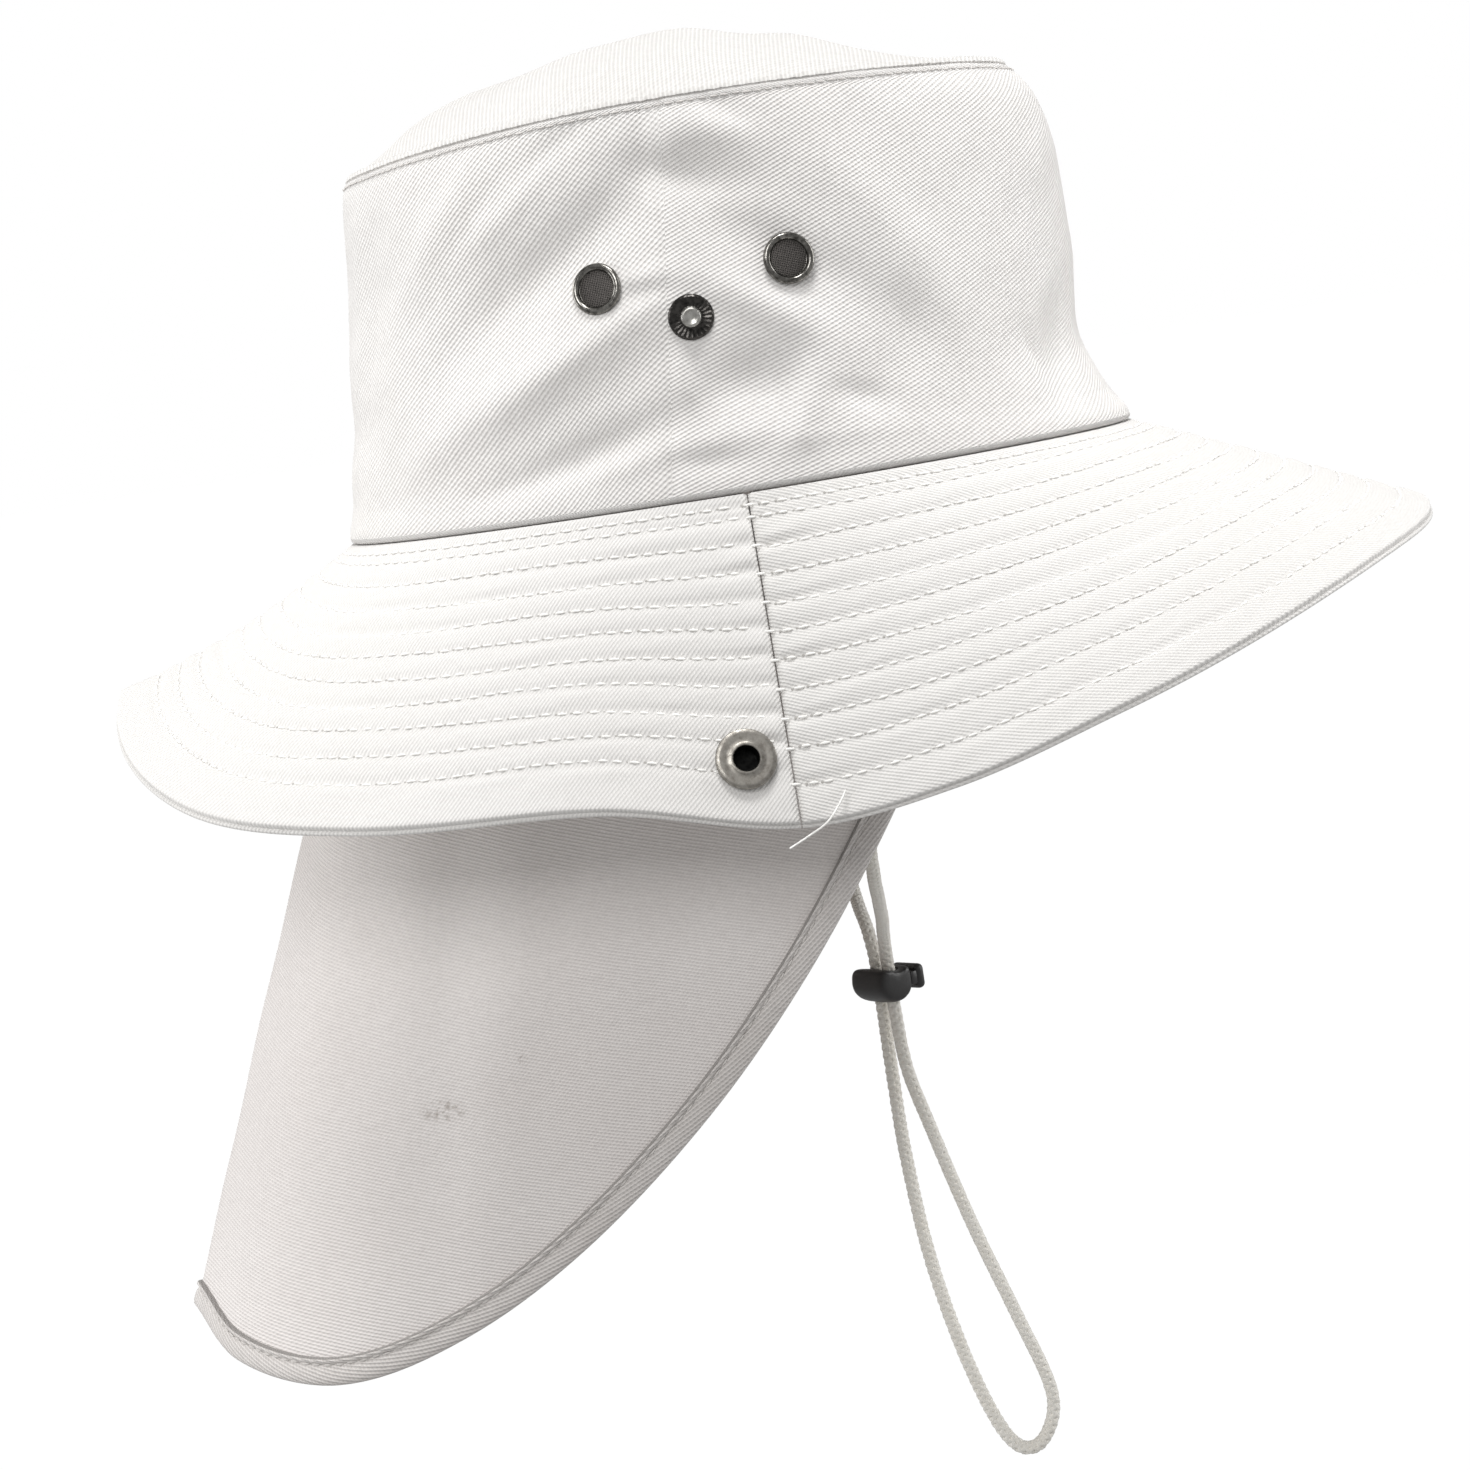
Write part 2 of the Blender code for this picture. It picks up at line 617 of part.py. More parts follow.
def build_tape(hem_line, inner_line):
    """The tape: a U section that holds the flap's edge in its slot."""
    slot = FLAP_CLOTH / 2 + GAP
    outside = slot + TAPE_CLOTH
    fold = -GAP - TAPE_CLOTH
    section = ((TAPE_WIDTH, outside), (fold, outside), (fold, -outside), (TAPE_WIDTH, -outside),
               (TAPE_WIDTH, -slot), (-GAP, -slot), (-GAP, slot), (TAPE_WIDTH, slot))
    bm = bmesh.new()
    loops = []
    for i, ((hem, normal), inner) in enumerate(zip(hem_line, inner_line)):
        before, after = hem_line[max(i - 1, 0)][0], hem_line[min(i + 1, len(hem_line) - 1)][0]
        run = (after - before).normalized()
        inward = (inner - hem).normalized()
        askew = tape_reach(inward, run) / TAPE_WIDTH
        loops.append([bm.verts.new(hem + inward * in_by * askew + normal * out_by)
                      for in_by, out_by in section])
    for here, after in zip(loops, loops[1:]):
        for j in range(len(section)):
            k = (j + 1) % len(section)
            bm.faces.new((here[j], here[k], after[k], after[j]))
    bm.faces.new(loops[0])
    bm.faces.new(loops[-1][::-1])
    bmesh.ops.triangulate(bm, faces=bm.faces[:])
    bmesh.ops.recalc_face_normals(bm, faces=bm.faces[:])
    add_object("flap_binding", bm, "tape")


def build_vents(places):
    """Eyelets with a flange outside, a barrel through the cloth and a screen across."""
    barrel, bore, screen, edge = VENT_BARREL / 2, VENT_BORE / 2, VENT_SCREEN / 2, VENT_DIAMETER / 2
    end = -(GAP + CROWN_CLOTH + SHANK_END)
    profile = ((0.0, -GAP), (bore, -GAP), (bore, end), (barrel, end), (barrel, 0.0), (edge, 0.0),
               (edge, VENT_RIM * 0.55), (edge - VENT_RIM * 0.6, VENT_RIM),
               (screen + VENT_RIM * 0.4, VENT_RIM), (screen, VENT_RIM * 0.3), (0.0, VENT_RIM * 0.3))
    for name, place in places.items():
        if name.startswith("vent"):
            turned(name, profile, "nickel", place)


def build_studs(places):
    """Snap studs: a plate outside, a waisted post and a shank through the cloth."""
    shank, post, edge = STUD_SHANK / 2, STUD_POST / 2, STUD_DIAMETER / 2
    end = -(GAP + CROWN_CLOTH + SHANK_END)
    waist = STUD_PLATE + (STUD_LENGTH - STUD_PLATE) * 0.35
    head = STUD_PLATE + (STUD_LENGTH - STUD_PLATE) * 0.7
    profile = ((0.0, end), (shank, end), (shank, 0.0), (edge, 0.0), (edge, STUD_PLATE * 0.5),
               (edge * 0.85, STUD_PLATE), (post * 1.15, STUD_PLATE * 0.8), (post * 0.86, waist),
               (post, head), (post * 0.72, STUD_LENGTH), (0.0, STUD_LENGTH))
    for name, place in places.items():
        if name.startswith("snap_stud"):
            turned(name, profile, "nickel", place)


def build_sockets(places):
    """Snap sockets: a ring with a raised rim, open in the middle, its barrel through the brim."""
    hole, barrel, edge = SOCKET_HOLE / 2, SOCKET_BARREL / 2, SOCKET_DIAMETER / 2
    end = -(GAP + BRIM_CLOTH + SHANK_END)
    face = SOCKET_RIM * 0.7
    profile = ((hole, end), (barrel, end), (barrel, 0.0), (edge, 0.0), (edge, SOCKET_RIM * 0.55),
               (edge - SOCKET_RIM * 0.45, SOCKET_RIM), (edge - SOCKET_RIM, face),
               (barrel + SOCKET_RIM * 0.6, face), (barrel, SOCKET_RIM), (hole, face))
    for name, place in places.items():
        turned(name, profile, "nickel", place)


def smooth_route(points, step):
    """Points about a step apart on a smooth curve that keeps every point of the route."""
    route = [Vector(point) for point in points]
    placed = [route[0]]
    for i in range(len(route) - 1):
        before, after = route[max(i - 1, 0)], route[min(i + 2, len(route) - 1)]
        here, there = route[i], route[i + 1]
        parts = max(1, round((there - here).length / step))
        for n in range(1, parts + 1):
            t = n / parts
            placed.append(0.5 * ((2 * here) + (there - before) * t
                                 + (2 * before - 5 * here + 4 * there - after) * t * t
                                 + (3 * here - before - 3 * there + after) * t**3))
    return placed


def build_cord():
    """The chin cord: one tube along its whole route."""
    curve = bpy.data.curves.new("chin_cord", "CURVE")
    curve.dimensions = "3D"
    curve.bevel_depth = CORD_DIAMETER / 2
    curve.bevel_resolution = 2
    curve.use_fill_caps = True
    points = smooth_route(CORD_ROUTE, CORD_DIAMETER * CORD_STEP)
    spline = curve.splines.new("POLY")
    spline.points.add(len(points) - 1)
    for slot, point in zip(spline.points, points):
        slot.co = (*point, 1.0)
    curve.materials.append(material("cord"))
    thing = bpy.data.objects.new("chin_cord", curve)
    bpy.context.collection.objects.link(thing)


def box(low, high):
    """A bmesh box between two corners."""
    low, high = Vector(low), Vector(high)
    size = high - low
    bm = bmesh.new()
    bmesh.ops.create_cube(bm, size=1.0, matrix=Matrix.Translation((low + high) / 2)
                          @ Matrix.Diagonal((*size, 1.0)))
    return bm


def build_lock():
    """The cord lock: a bean body with a slot for both strands, and a plunger that slides in it.

    The lock's own X is the way the plunger slides, its Y runs across the two strands.
    """
    place = Matrix.Translation(LOCK_PLACE) @ Matrix.Rotation(math.radians(LOCK_YAW), 4, "Z")
    strand = CORD_DIAMETER / 2 + GAP
    slot = STRAND_SPACING / 2 + strand
    stem_half = slot + STEM_WALL
    stem_high = STEM_HEIGHT / 2
    back, front = -LOCK_LENGTH * 0.6, LOCK_LENGTH * 0.4
    stem_back = -strand - STEM_WALL * 1.5
    outline = ((back, 0.10), (back * 0.93, 0.72), (back * 0.78, 1.0), (back * 0.45, 0.98),
               (back * 0.14, 0.76), (front * 0.40, 0.76), (front * 0.72, 0.92), (front * 0.94, 0.86),
               (front, 0.40), (front, -0.36), (front * 0.72, -0.70), (front * 0.24, -0.96),
               (back * 0.28, -1.0), (back * 0.66, -0.76), (back * 0.93, -0.36))
    bm = bmesh.new()
    verts = [bm.verts.new((x, -LOCK_WIDTH / 2, z * (LOCK_ABOVE if z > 0 else LOCK_BELOW)))
             for x, z in outline]
    face = bm.faces.new(verts)
    grown = bmesh.ops.extrude_face_region(bm, geom=[face])
    moved = [item for item in grown["geom"] if isinstance(item, bmesh.types.BMVert)]
    bmesh.ops.translate(bm, verts=moved, vec=(0.0, LOCK_WIDTH, 0.0))
    rims = [edge for edge in bm.edges if abs(edge.verts[0].co.y - edge.verts[1].co.y) < 1e-6]
    bmesh.ops.bevel(bm, geom=rims, offset=LOCK_EDGE, segments=2, affect="EDGES", profile=0.5)
    bmesh.ops.recalc_face_normals(bm, faces=bm.faces[:])
    body = add_object("cord_lock_body", bm, "black_plastic")
    bore_end = stem_back - PLUNGER_TRAVEL - GAP
    tools = (
        cutter("strand_slot", box((-strand, -slot, -LOCK_LENGTH), (strand, slot, LOCK_LENGTH))),
        cutter("stem_bore", box((bore_end, -stem_half - GAP, -stem_high - GAP),
                                (LOCK_LENGTH, stem_half + GAP, stem_high + GAP))),
    )
    for tool in tools:
        boolean(body, tool, "DIFFERENCE")
    knob_back = front + GAP + PLUNGER_TRAVEL
    knob = box((knob_back, -stem_half, -KNOB_HEIGHT / 2),
               (knob_back + KNOB_LENGTH, stem_half, KNOB_HEIGHT / 2))
    bmesh.ops.bevel(knob, geom=knob.edges[:], offset=KNOB_EDGE, segments=2, affect="EDGES",
                    profile=0.5)
    plunger = add_object("cord_lock_plunger", knob, "black_plastic")
    stem = cutter("stem", box((stem_back, -stem_half, -stem_high),
                              (knob_back + KNOB_LENGTH / 2, stem_half, stem_high)))
    opening = cutter("stem_slot", box((-strand, -slot, -LOCK_LENGTH),
                                      (strand + PLUNGER_TRAVEL, slot, LOCK_LENGTH)))
    boolean(plunger, stem, "UNION")
    boolean(plunger, opening, "DIFFERENCE")
    for thing in (body, plunger, stem, opening, *tools):
        thing.matrix_world = place


def main():
    for thing in list(bpy.data.objects):
        bpy.data.objects.remove(thing, do_unlink=True)
    places = build_crown_side()
    build_crown_tip()
    build_brim_panel("brim_front", -0.25, 0.25)
    brim_back, brim_tree = build_brim_panel("brim_back", 0.25, 0.75)
    sockets = socket_places(brim_tree)
    add_holes("brim_holes", brim_back, sockets, lambda name: SOCKET_BARREL)
    build_flap()
    build_vents(places)
    build_studs(places)
    build_sockets(sockets)
    build_cord()
    build_lock()


main()
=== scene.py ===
# Flap sun hat: cloth, stitching, metal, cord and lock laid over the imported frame
import math
import random

import bmesh
import bpy
import numpy as np
from mathutils import Matrix, Vector


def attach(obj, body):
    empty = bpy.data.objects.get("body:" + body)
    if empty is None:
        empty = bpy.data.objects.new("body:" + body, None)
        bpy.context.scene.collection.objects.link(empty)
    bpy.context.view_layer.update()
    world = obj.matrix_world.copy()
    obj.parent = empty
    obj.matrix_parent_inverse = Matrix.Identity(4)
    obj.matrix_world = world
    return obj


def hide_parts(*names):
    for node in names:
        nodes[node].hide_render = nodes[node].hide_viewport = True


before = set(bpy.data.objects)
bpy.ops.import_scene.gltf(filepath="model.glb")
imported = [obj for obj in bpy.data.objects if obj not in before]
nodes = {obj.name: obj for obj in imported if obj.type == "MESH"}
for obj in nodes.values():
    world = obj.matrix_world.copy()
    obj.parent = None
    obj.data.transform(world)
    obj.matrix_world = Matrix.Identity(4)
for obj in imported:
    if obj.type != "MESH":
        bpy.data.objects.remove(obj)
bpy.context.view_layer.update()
bpy.ops.object.select_all(action="DESELECT")
print("frame loaded:", len(nodes), "nodes")

# Camera at the photograph's angle: a little above the brim, rolled so that the hat leans back
view = {"place": (-0.012, -0.97, 0.0365), "target": (-0.012, 0.0, -0.0655), "roll": 9.2, "lens": 91.36}
ahead = (Vector(view["target"]) - Vector(view["place"])).normalized()
level = ahead.cross(Vector((0, 0, 1))).normalized()
upright = level.cross(ahead)
lean = math.radians(view["roll"])
sideways = level * math.cos(lean) - upright * math.sin(lean)
skyward = level * math.sin(lean) + upright * math.cos(lean)
bpy.ops.object.camera_add(location=view["place"])
camera = bpy.context.active_object
camera.name = "camera"
camera.rotation_euler = Matrix((sideways, skyward, -ahead)).transposed().to_euler()
camera.data.lens = view["lens"]
camera.data.sensor_width = 36.0
camera.data.clip_start = 0.01
bpy.context.scene.camera = camera


# Helpers
def clearSelection():
    if bpy.context.object and bpy.context.object.mode != "OBJECT":
        bpy.ops.object.mode_set(mode="OBJECT")
    bpy.ops.object.select_all(action="DESELECT")


def pick(*things):
    clearSelection()
    for thing in things:
        thing.select_set(True)
    bpy.context.view_layer.objects.active = things[0]


def named(name):  # names what the last operator added
    piece = bpy.context.active_object
    piece.name = name
    piece.data.name = name
    return piece


def settle(piece):  # place and size go into the mesh
    pick(piece)
    bpy.ops.object.transform_apply(location=True, rotation=True, scale=True)


def applyModifiers(piece):
    pick(piece)
    for modifier in list(piece.modifiers):
        bpy.ops.object.modifier_apply(modifier=modifier.name)


def finishPiece(piece, body, material, replaced=(), smooth=60):
    pick(piece)
    bpy.ops.object.shade_smooth_by_angle(angle=math.radians(smooth))
    piece.data.materials.clear()
    piece.data.materials.append(material)
    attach(piece, body)
    if replaced:
        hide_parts(*replaced)
    return piece


def smoothRead(rows, column, at):  # a table's column, eased between its rows
    keys = np.array([row[0] for row in rows], float)
    values = np.array([row[column] for row in rows], float)
    slopes = np.empty_like(values)
    slopes[1:-1] = (values[2:] - values[:-2]) / (keys[2:] - keys[:-2])
    slopes[0] = (values[1] - values[0]) / (keys[1] - keys[0])
    slopes[-1] = (values[-1] - values[-2]) / (keys[-1] - keys[-2])
    at = np.clip(at, keys[0], keys[-1])
    i = np.clip(np.searchsorted(keys, at, side="right") - 1, 0, len(keys) - 2)
    span = keys[i + 1] - keys[i]
    t = (at - keys[i]) / span
    return ((2 * t**3 - 3 * t**2 + 1) * values[i] + (t**3 - 2 * t**2 + t) * span * slopes[i]
            + (3 * t**2 - 2 * t**3) * values[i + 1] + (t**3 - t**2) * span * slopes[i + 1])


def unit(vectors):
    return vectors / np.maximum(np.linalg.norm(vectors, axis=-1, keepdims=True), 1e-12)


def easeStep(value, low, high):
    t = np.clip((value - low) / (high - low), 0.0, 1.0)
    return t * t * (3 - 2 * t)


def ripple(run, rise, seed, size, count=14):  # gentle wandering waves, the same on every run
    rng = random.Random(seed)
    total = 0.0
    for _ in range(count):
        way = rng.uniform(0, 2 * math.pi)
        length = size * rng.uniform(0.6, 1.8)
        phase = rng.uniform(0, 2 * math.pi)
        total = total + np.sin(2 * math.pi / length * (run * math.cos(way) + rise * math.sin(way)) + phase)
    return total / math.sqrt(count)


def foldDepth(folds, run, rise, size, wrap=0.0):  # soft ridges and dents, as long ovals
    depth = np.zeros(np.broadcast(run, rise).shape)
    for place, height, tilt, length, width, high in folds:
        tilt = math.radians(tilt)
        off = run - place
        if wrap:
            off = (off + wrap / 2) % wrap - wrap / 2
        up = rise - height
        along = off * math.cos(tilt) + up * math.sin(tilt)
        across = up * math.cos(tilt) - off * math.sin(tilt)
        depth += high * size * np.exp(-(along / (length * size)) ** 2 - (across / (width * size)) ** 2)
    return depth


def clothGrid(name, across, down, placeAt, uvAt):  # a grid laid onto a surface that functions give
    clearSelection()
    bpy.ops.mesh.primitive_grid_add(x_subdivisions=across, y_subdivisions=down, size=1.0)
    piece = named(name)
    mesh = piece.data
    flat = np.empty(len(mesh.vertices) * 3)
    mesh.vertices.foreach_get("co", flat)
    flat = flat.reshape(-1, 3)
    u, v = flat[:, 0] + 0.5, flat[:, 1] + 0.5
    mesh.vertices.foreach_set("co", placeAt(u, v).astype(float).ravel())
    corners = np.empty(len(mesh.loops), dtype=int)
    mesh.loops.foreach_get("vertex_index", corners)
    middles = np.repeat(u[corners].reshape(-1, 4).mean(axis=1), 4)
    laid = uvAt(u[corners], v[corners], middles)
    mesh.uv_layers.active.data.foreach_set("uv", laid.astype(float).ravel())
    mesh.update()
    return piece


def mergeDoubles(piece, distance=0.00002):
    pick(piece)
    bpy.ops.object.mode_set(mode="EDIT")
    bpy.ops.mesh.select_all(action="SELECT")
    bpy.ops.mesh.remove_doubles(threshold=distance)
    bpy.ops.mesh.normals_make_consistent(inside=False)
    bpy.ops.object.mode_set(mode="OBJECT")


def thicken(piece, wall, offset):
    solid = piece.modifiers.new("wall", "SOLIDIFY")
    solid.thickness = wall
    solid.offset = offset
    solid.use_even_offset = False
    applyModifiers(piece)


def facesOut(piece, probe, outward):  # turns a sheet round if it faces inwards at the probe point
    near = min(piece.data.polygons, key=lambda face: (face.center - Vector(probe)).length)
    if near.normal.dot(Vector(outward)) < 0:
        pick(piece)
        bpy.ops.object.mode_set(mode="EDIT")
        bpy.ops.mesh.select_all(action="SELECT")
        bpy.ops.mesh.flip_normals()
        bpy.ops.object.mode_set(mode="OBJECT")


# Materials
def newGroup(name, inputs, outputs):
    group = bpy.data.node_groups.new(name, "ShaderNodeTree")
    for label, kind, value in inputs:
        socket = group.interface.new_socket(name=label, in_out="INPUT", socket_type=kind)
        if value is not None:
            socket.default_value = value
    for label, kind in outputs:
        group.interface.new_socket(name=label, in_out="OUTPUT", socket_type=kind)
    return group, group.nodes.new("NodeGroupInput"), group.nodes.new("NodeGroupOutput")


def mathNode(tree, operation, first, second=None, clamp=False):
    node = tree.nodes.new("ShaderNodeMath")
    node.operation = operation
    node.use_clamp = clamp
    for socket, value in zip(node.inputs, (first, second)):
        if value is None:
            continue
        if isinstance(value, (int, float)):
            socket.default_value = value
        else:
            tree.links.new(value, socket)
    return node.outputs[0]


def noiseNode(tree, vector, scale, detail=3.0, rough=0.5):
    node = tree.nodes.new("ShaderNodeTexNoise")
    node.inputs["Scale"].default_value = scale
    node.inputs["Detail"].default_value = detail
    node.inputs["Roughness"].default_value = rough
    if vector is not None:
        tree.links.new(vector, node.inputs["Vector"])
    return node.outputs["Fac"]


def buildTwillGroup():  # diagonal ribs with broken yarns; height and shade, on a vector in metres
    group, source, sink = newGroup("twill weave", (
        ("Vector", "NodeSocketVector", None), ("Angle", "NodeSocketFloat", 0.7),
        ("Pitch", "NodeSocketFloat", 0.001), ("Unevenness", "NodeSocketFloat", 0.5)),
        (("Height", "NodeSocketFloat"), ("Shade", "NodeSocketFloat")))
    turn = group.nodes.new("ShaderNodeVectorRotate")
    turn.rotation_type = "Z_AXIS"
    group.links.new(source.outputs["Vector"], turn.inputs["Vector"])
    group.links.new(source.outputs["Angle"], turn.inputs["Angle"])
    split = group.nodes.new("ShaderNodeSeparateXYZ")
    group.links.new(turn.outputs[0], split.inputs[0])
    drift = noiseNode(group, source.outputs["Vector"], 55.0, 3.0, 0.6)
    grain = noiseNode(group, source.outputs["Vector"], 900.0, 2.0, 0.6)
    wander = mathNode(group, "MULTIPLY", mathNode(group, "SUBTRACT", drift, 0.5), 5.0)
    jitter = mathNode(group, "MULTIPLY", mathNode(group, "SUBTRACT", grain, 0.5), 2.6)
    wander = mathNode(group, "MULTIPLY", mathNode(group, "ADD", wander, jitter), source.outputs["Unevenness"])
    turns = mathNode(group, "MULTIPLY", mathNode(group, "DIVIDE", split.outputs["Y"], source.outputs["Pitch"]),
                     2 * math.pi)
    rib = mathNode(group, "SINE", mathNode(group, "ADD", turns, wander))
    rib = mathNode(group, "MULTIPLY", mathNode(group, "ADD", rib, 1.0), 0.5)
    steps = mathNode(group, "MULTIPLY", mathNode(group, "DIVIDE", split.outputs["X"], source.outputs["Pitch"]),
                     2 * math.pi * 0.8)
    steps = mathNode(group, "ADD", steps, mathNode(group, "MULTIPLY", turns, 0.5))
    yarn = mathNode(group, "SINE", mathNode(group, "ADD", steps, jitter))
    yarn = mathNode(group, "MULTIPLY", mathNode(group, "ADD", yarn, 1.0), 0.5)
    height = mathNode(group, "ADD", mathNode(group, "MULTIPLY", rib, 0.72), mathNode(group, "MULTIPLY", yarn, 0.28))
    group.links.new(height, sink.inputs["Height"])
    fleck = noiseNode(group, source.outputs["Vector"], 420.0, 2.0, 0.7)
    shade = mathNode(group, "ADD", mathNode(group, "MULTIPLY", height, 0.75), mathNode(group, "MULTIPLY", fleck, 0.5))
    group.links.new(shade, sink.inputs["Shade"])
    return group


twillGroup = buildTwillGroup()


def mixColour(tree, factor, dark, light):
    node = tree.nodes.new("ShaderNodeMix")
    node.data_type = "RGBA"
    if not isinstance(factor, (int, float)):
        tree.links.new(factor, node.inputs[0])
    for socket, value in ((node.inputs[6], dark), (node.inputs[7], light)):
        if isinstance(value, tuple):
            socket.default_value = (*value, 1.0)
        else:
            tree.links.new(value, socket)
    return node.outputs[2]


def spread(tree, value, low, high):  # stretches a mask from low..high to 0..1
    node = tree.nodes.new("ShaderNodeMapRange")
    node.inputs["From Min"].default_value = low
    node.inputs["From Max"].default_value = high
    tree.links.new(value, node.inputs["Value"])
    return node.outputs[0]


def startMaterial(name):
    material = bpy.data.materials.new(name)
    material.use_nodes = True
    tree = material.node_tree
    return material, tree, tree.nodes["Principled BSDF"]


def bumpInto(tree, shader, height, distance, strength=1.0, below=None):
    node = tree.nodes.new("ShaderNodeBump")
    node.inputs["Distance"].default_value = distance
    node.inputs["Strength"].default_value = strength
    tree.links.new(height, node.inputs["Height"])
    if below is not None:
        tree.links.new(below, node.inputs["Normal"])
    tree.links.new(node.outputs[0], shader.inputs["Normal"])
    return node.outputs[0]


def twillCloth(name, look, marks=(), edge=0.0):  # cotton twill on the piece's own UV map, which is in metres
    material, tree, shader = startMaterial(name)
    shader.inputs["Roughness"].default_value = look["roughness"]
    shader.inputs["Sheen Weight"].default_value = 0.25
    shader.inputs["Sheen Roughness"].default_value = 0.6
    shader.inputs["Specular IOR Level"].default_value = 0.25
    place = tree.nodes.new("ShaderNodeUVMap")
    place.uv_map = "UVMap"
    weave = tree.nodes.new("ShaderNodeGroup")
    weave.node_tree = twillGroup
    weave.inputs["Angle"].default_value = math.radians(look["angle"])
    weave.inputs["Pitch"].default_value = look["pitch"]
    weave.inputs["Unevenness"].default_value = look["unevenness"]
    tree.links.new(place.outputs[0], weave.inputs["Vector"])
    colour = mixColour(tree, spread(tree, weave.outputs["Shade"], 0.15, 0.95), look["dark"], look["light"])
    cloud = spread(tree, noiseNode(tree, place.outputs[0], 16.0, 4.0, 0.6), 0.35, 0.7)
    tint = tree.nodes.new("ShaderNodeMix")
    tint.data_type = "RGBA"
    tint.blend_type = "MULTIPLY"
    tint.inputs[0].default_value = 1.0
    tree.links.new(colour, tint.inputs[6])
    tree.links.new(mixColour(tree, cloud, look["cloud"], (1.0, 1.0, 1.0)), tint.inputs[7])
    colour = tint.outputs[2]
    spot = tree.nodes.new("ShaderNodeTexCoord")
    split = tree.nodes.new("ShaderNodeSeparateXYZ")
    tree.links.new(spot.outputs["Object"], split.inputs[0])
    nearSide = mathNode(tree, "LESS_THAN", split.outputs["Y"], 0.0)
    for x, z, size, strength, shade in marks:  # faint stains at places on the right side
        du = mathNode(tree, "DIVIDE", mathNode(tree, "SUBTRACT", split.outputs["X"], x), size[0])
        dv = mathNode(tree, "DIVIDE", mathNode(tree, "SUBTRACT", split.outputs["Z"], z), size[1])
        far = mathNode(tree, "ADD", mathNode(tree, "MULTIPLY", du, du), mathNode(tree, "MULTIPLY", dv, dv))
        inside = mathNode(tree, "MULTIPLY", mathNode(tree, "SUBTRACT", 1.0, far, clamp=True), nearSide)
        broken = spread(tree, noiseNode(tree, place.outputs[0], 420.0, 3.0, 0.7), 0.46, 0.62)
        mask = mathNode(tree, "MULTIPLY", mathNode(tree, "MULTIPLY", inside, broken), strength)
        colour = mixColour(tree, mask, colour, shade)
    if edge:  # shade in the fold where the tape meets the cloth
        flat = tree.nodes.new("ShaderNodeSeparateXYZ")
        tree.links.new(place.outputs[0], flat.inputs[0])
        outer = mathNode(tree, "LESS_THAN", flat.outputs["Y"], edge)
        colour = mixColour(tree, outer, colour, (0.30, 0.28, 0.265))
    tree.links.new(colour, shader.inputs["Base Color"])
    fine = bumpInto(tree, shader, weave.outputs["Height"], look["relief"])
    bumpInto(tree, shader, noiseNode(tree, place.outputs[0], 110.0, 4.0, 0.6), 0.0004, 0.35, below=fine)
    return material


def plainThread(name, dark, light, roughness=0.75):
    material, tree, shader = startMaterial(name)
    shader.inputs["Roughness"].default_value = roughness
    shader.inputs["Sheen Weight"].default_value = 0.3
    shader.inputs["Specular IOR Level"].default_value = 0.3
    place = tree.nodes.new("ShaderNodeTexCoord")
    grain = noiseNode(tree, place.outputs["Object"], 2200.0, 2.0, 0.6)
    tree.links.new(mixColour(tree, grain, dark, light), shader.inputs["Base Color"])
    bumpInto(tree, shader, grain, 0.0001, 0.6)
    return material


def mottledMetal(name, look):
    material, tree, shader = startMaterial(name)
    shader.inputs["Metallic"].default_value = 1.0
    place = tree.nodes.new("ShaderNodeTexCoord")
    patch = spread(tree, noiseNode(tree, place.outputs["Object"], 700.0, 4.0, 0.65), 0.35, 0.65)
    fine = noiseNode(tree, place.outputs["Object"], 3500.0, 2.0, 0.6)
    tree.links.new(mixColour(tree, patch, look["dark"], look["light"]), shader.inputs["Base Color"])
    rough = mathNode(tree, "ADD", mathNode(tree, "MULTIPLY", patch, -0.12), look["roughness"] + 0.06)
    tree.links.new(rough, shader.inputs["Roughness"])
    bumpInto(tree, shader, fine, 0.00003, 0.5)
    return material


clothLooks = {
    "crown": {"dark": (0.66, 0.635, 0.615), "light": (0.92, 0.905, 0.885), "cloud": (0.965, 0.96, 0.955),
              "roughness": 0.9, "angle": -34.0, "pitch": 0.00105, "unevenness": 0.5, "relief": 0.00024},
    "tip": {"dark": (0.56, 0.545, 0.525), "light": (0.80, 0.785, 0.765), "cloud": (0.97, 0.965, 0.96),
            "roughness": 0.9, "angle": -87.0, "pitch": 0.00105, "unevenness": 0.5, "relief": 0.00024},
    "brimFront": {"dark": (0.68, 0.665, 0.645), "light": (0.80, 0.785, 0.765), "cloud": (0.975, 0.972, 0.968),
                  "roughness": 0.88, "angle": -59.0, "pitch": 0.00080, "unevenness": 0.45, "relief": 0.00014},
    "brimBack": {"dark": (0.67, 0.655, 0.635), "light": (0.80, 0.785, 0.765), "cloud": (0.975, 0.972, 0.968),
                 "roughness": 0.88, "angle": 86.0, "pitch": 0.00085, "unevenness": 0.45, "relief": 0.00016},
    "flap": {"dark": (0.70, 0.66, 0.64), "light": (0.91, 0.87, 0.845), "cloud": (0.95, 0.94, 0.935),
             "roughness": 0.9, "angle": -14.0, "pitch": 0.00090, "unevenness": 0.6, "relief": 0.00020},
    "tape": {"dark": (0.54, 0.51, 0.49), "light": (0.82, 0.785, 0.76), "cloud": (0.93, 0.92, 0.91),
             "roughness": 0.9, "angle": 13.0, "pitch": 0.00095, "unevenness": 0.5, "relief": 0.00026},
}
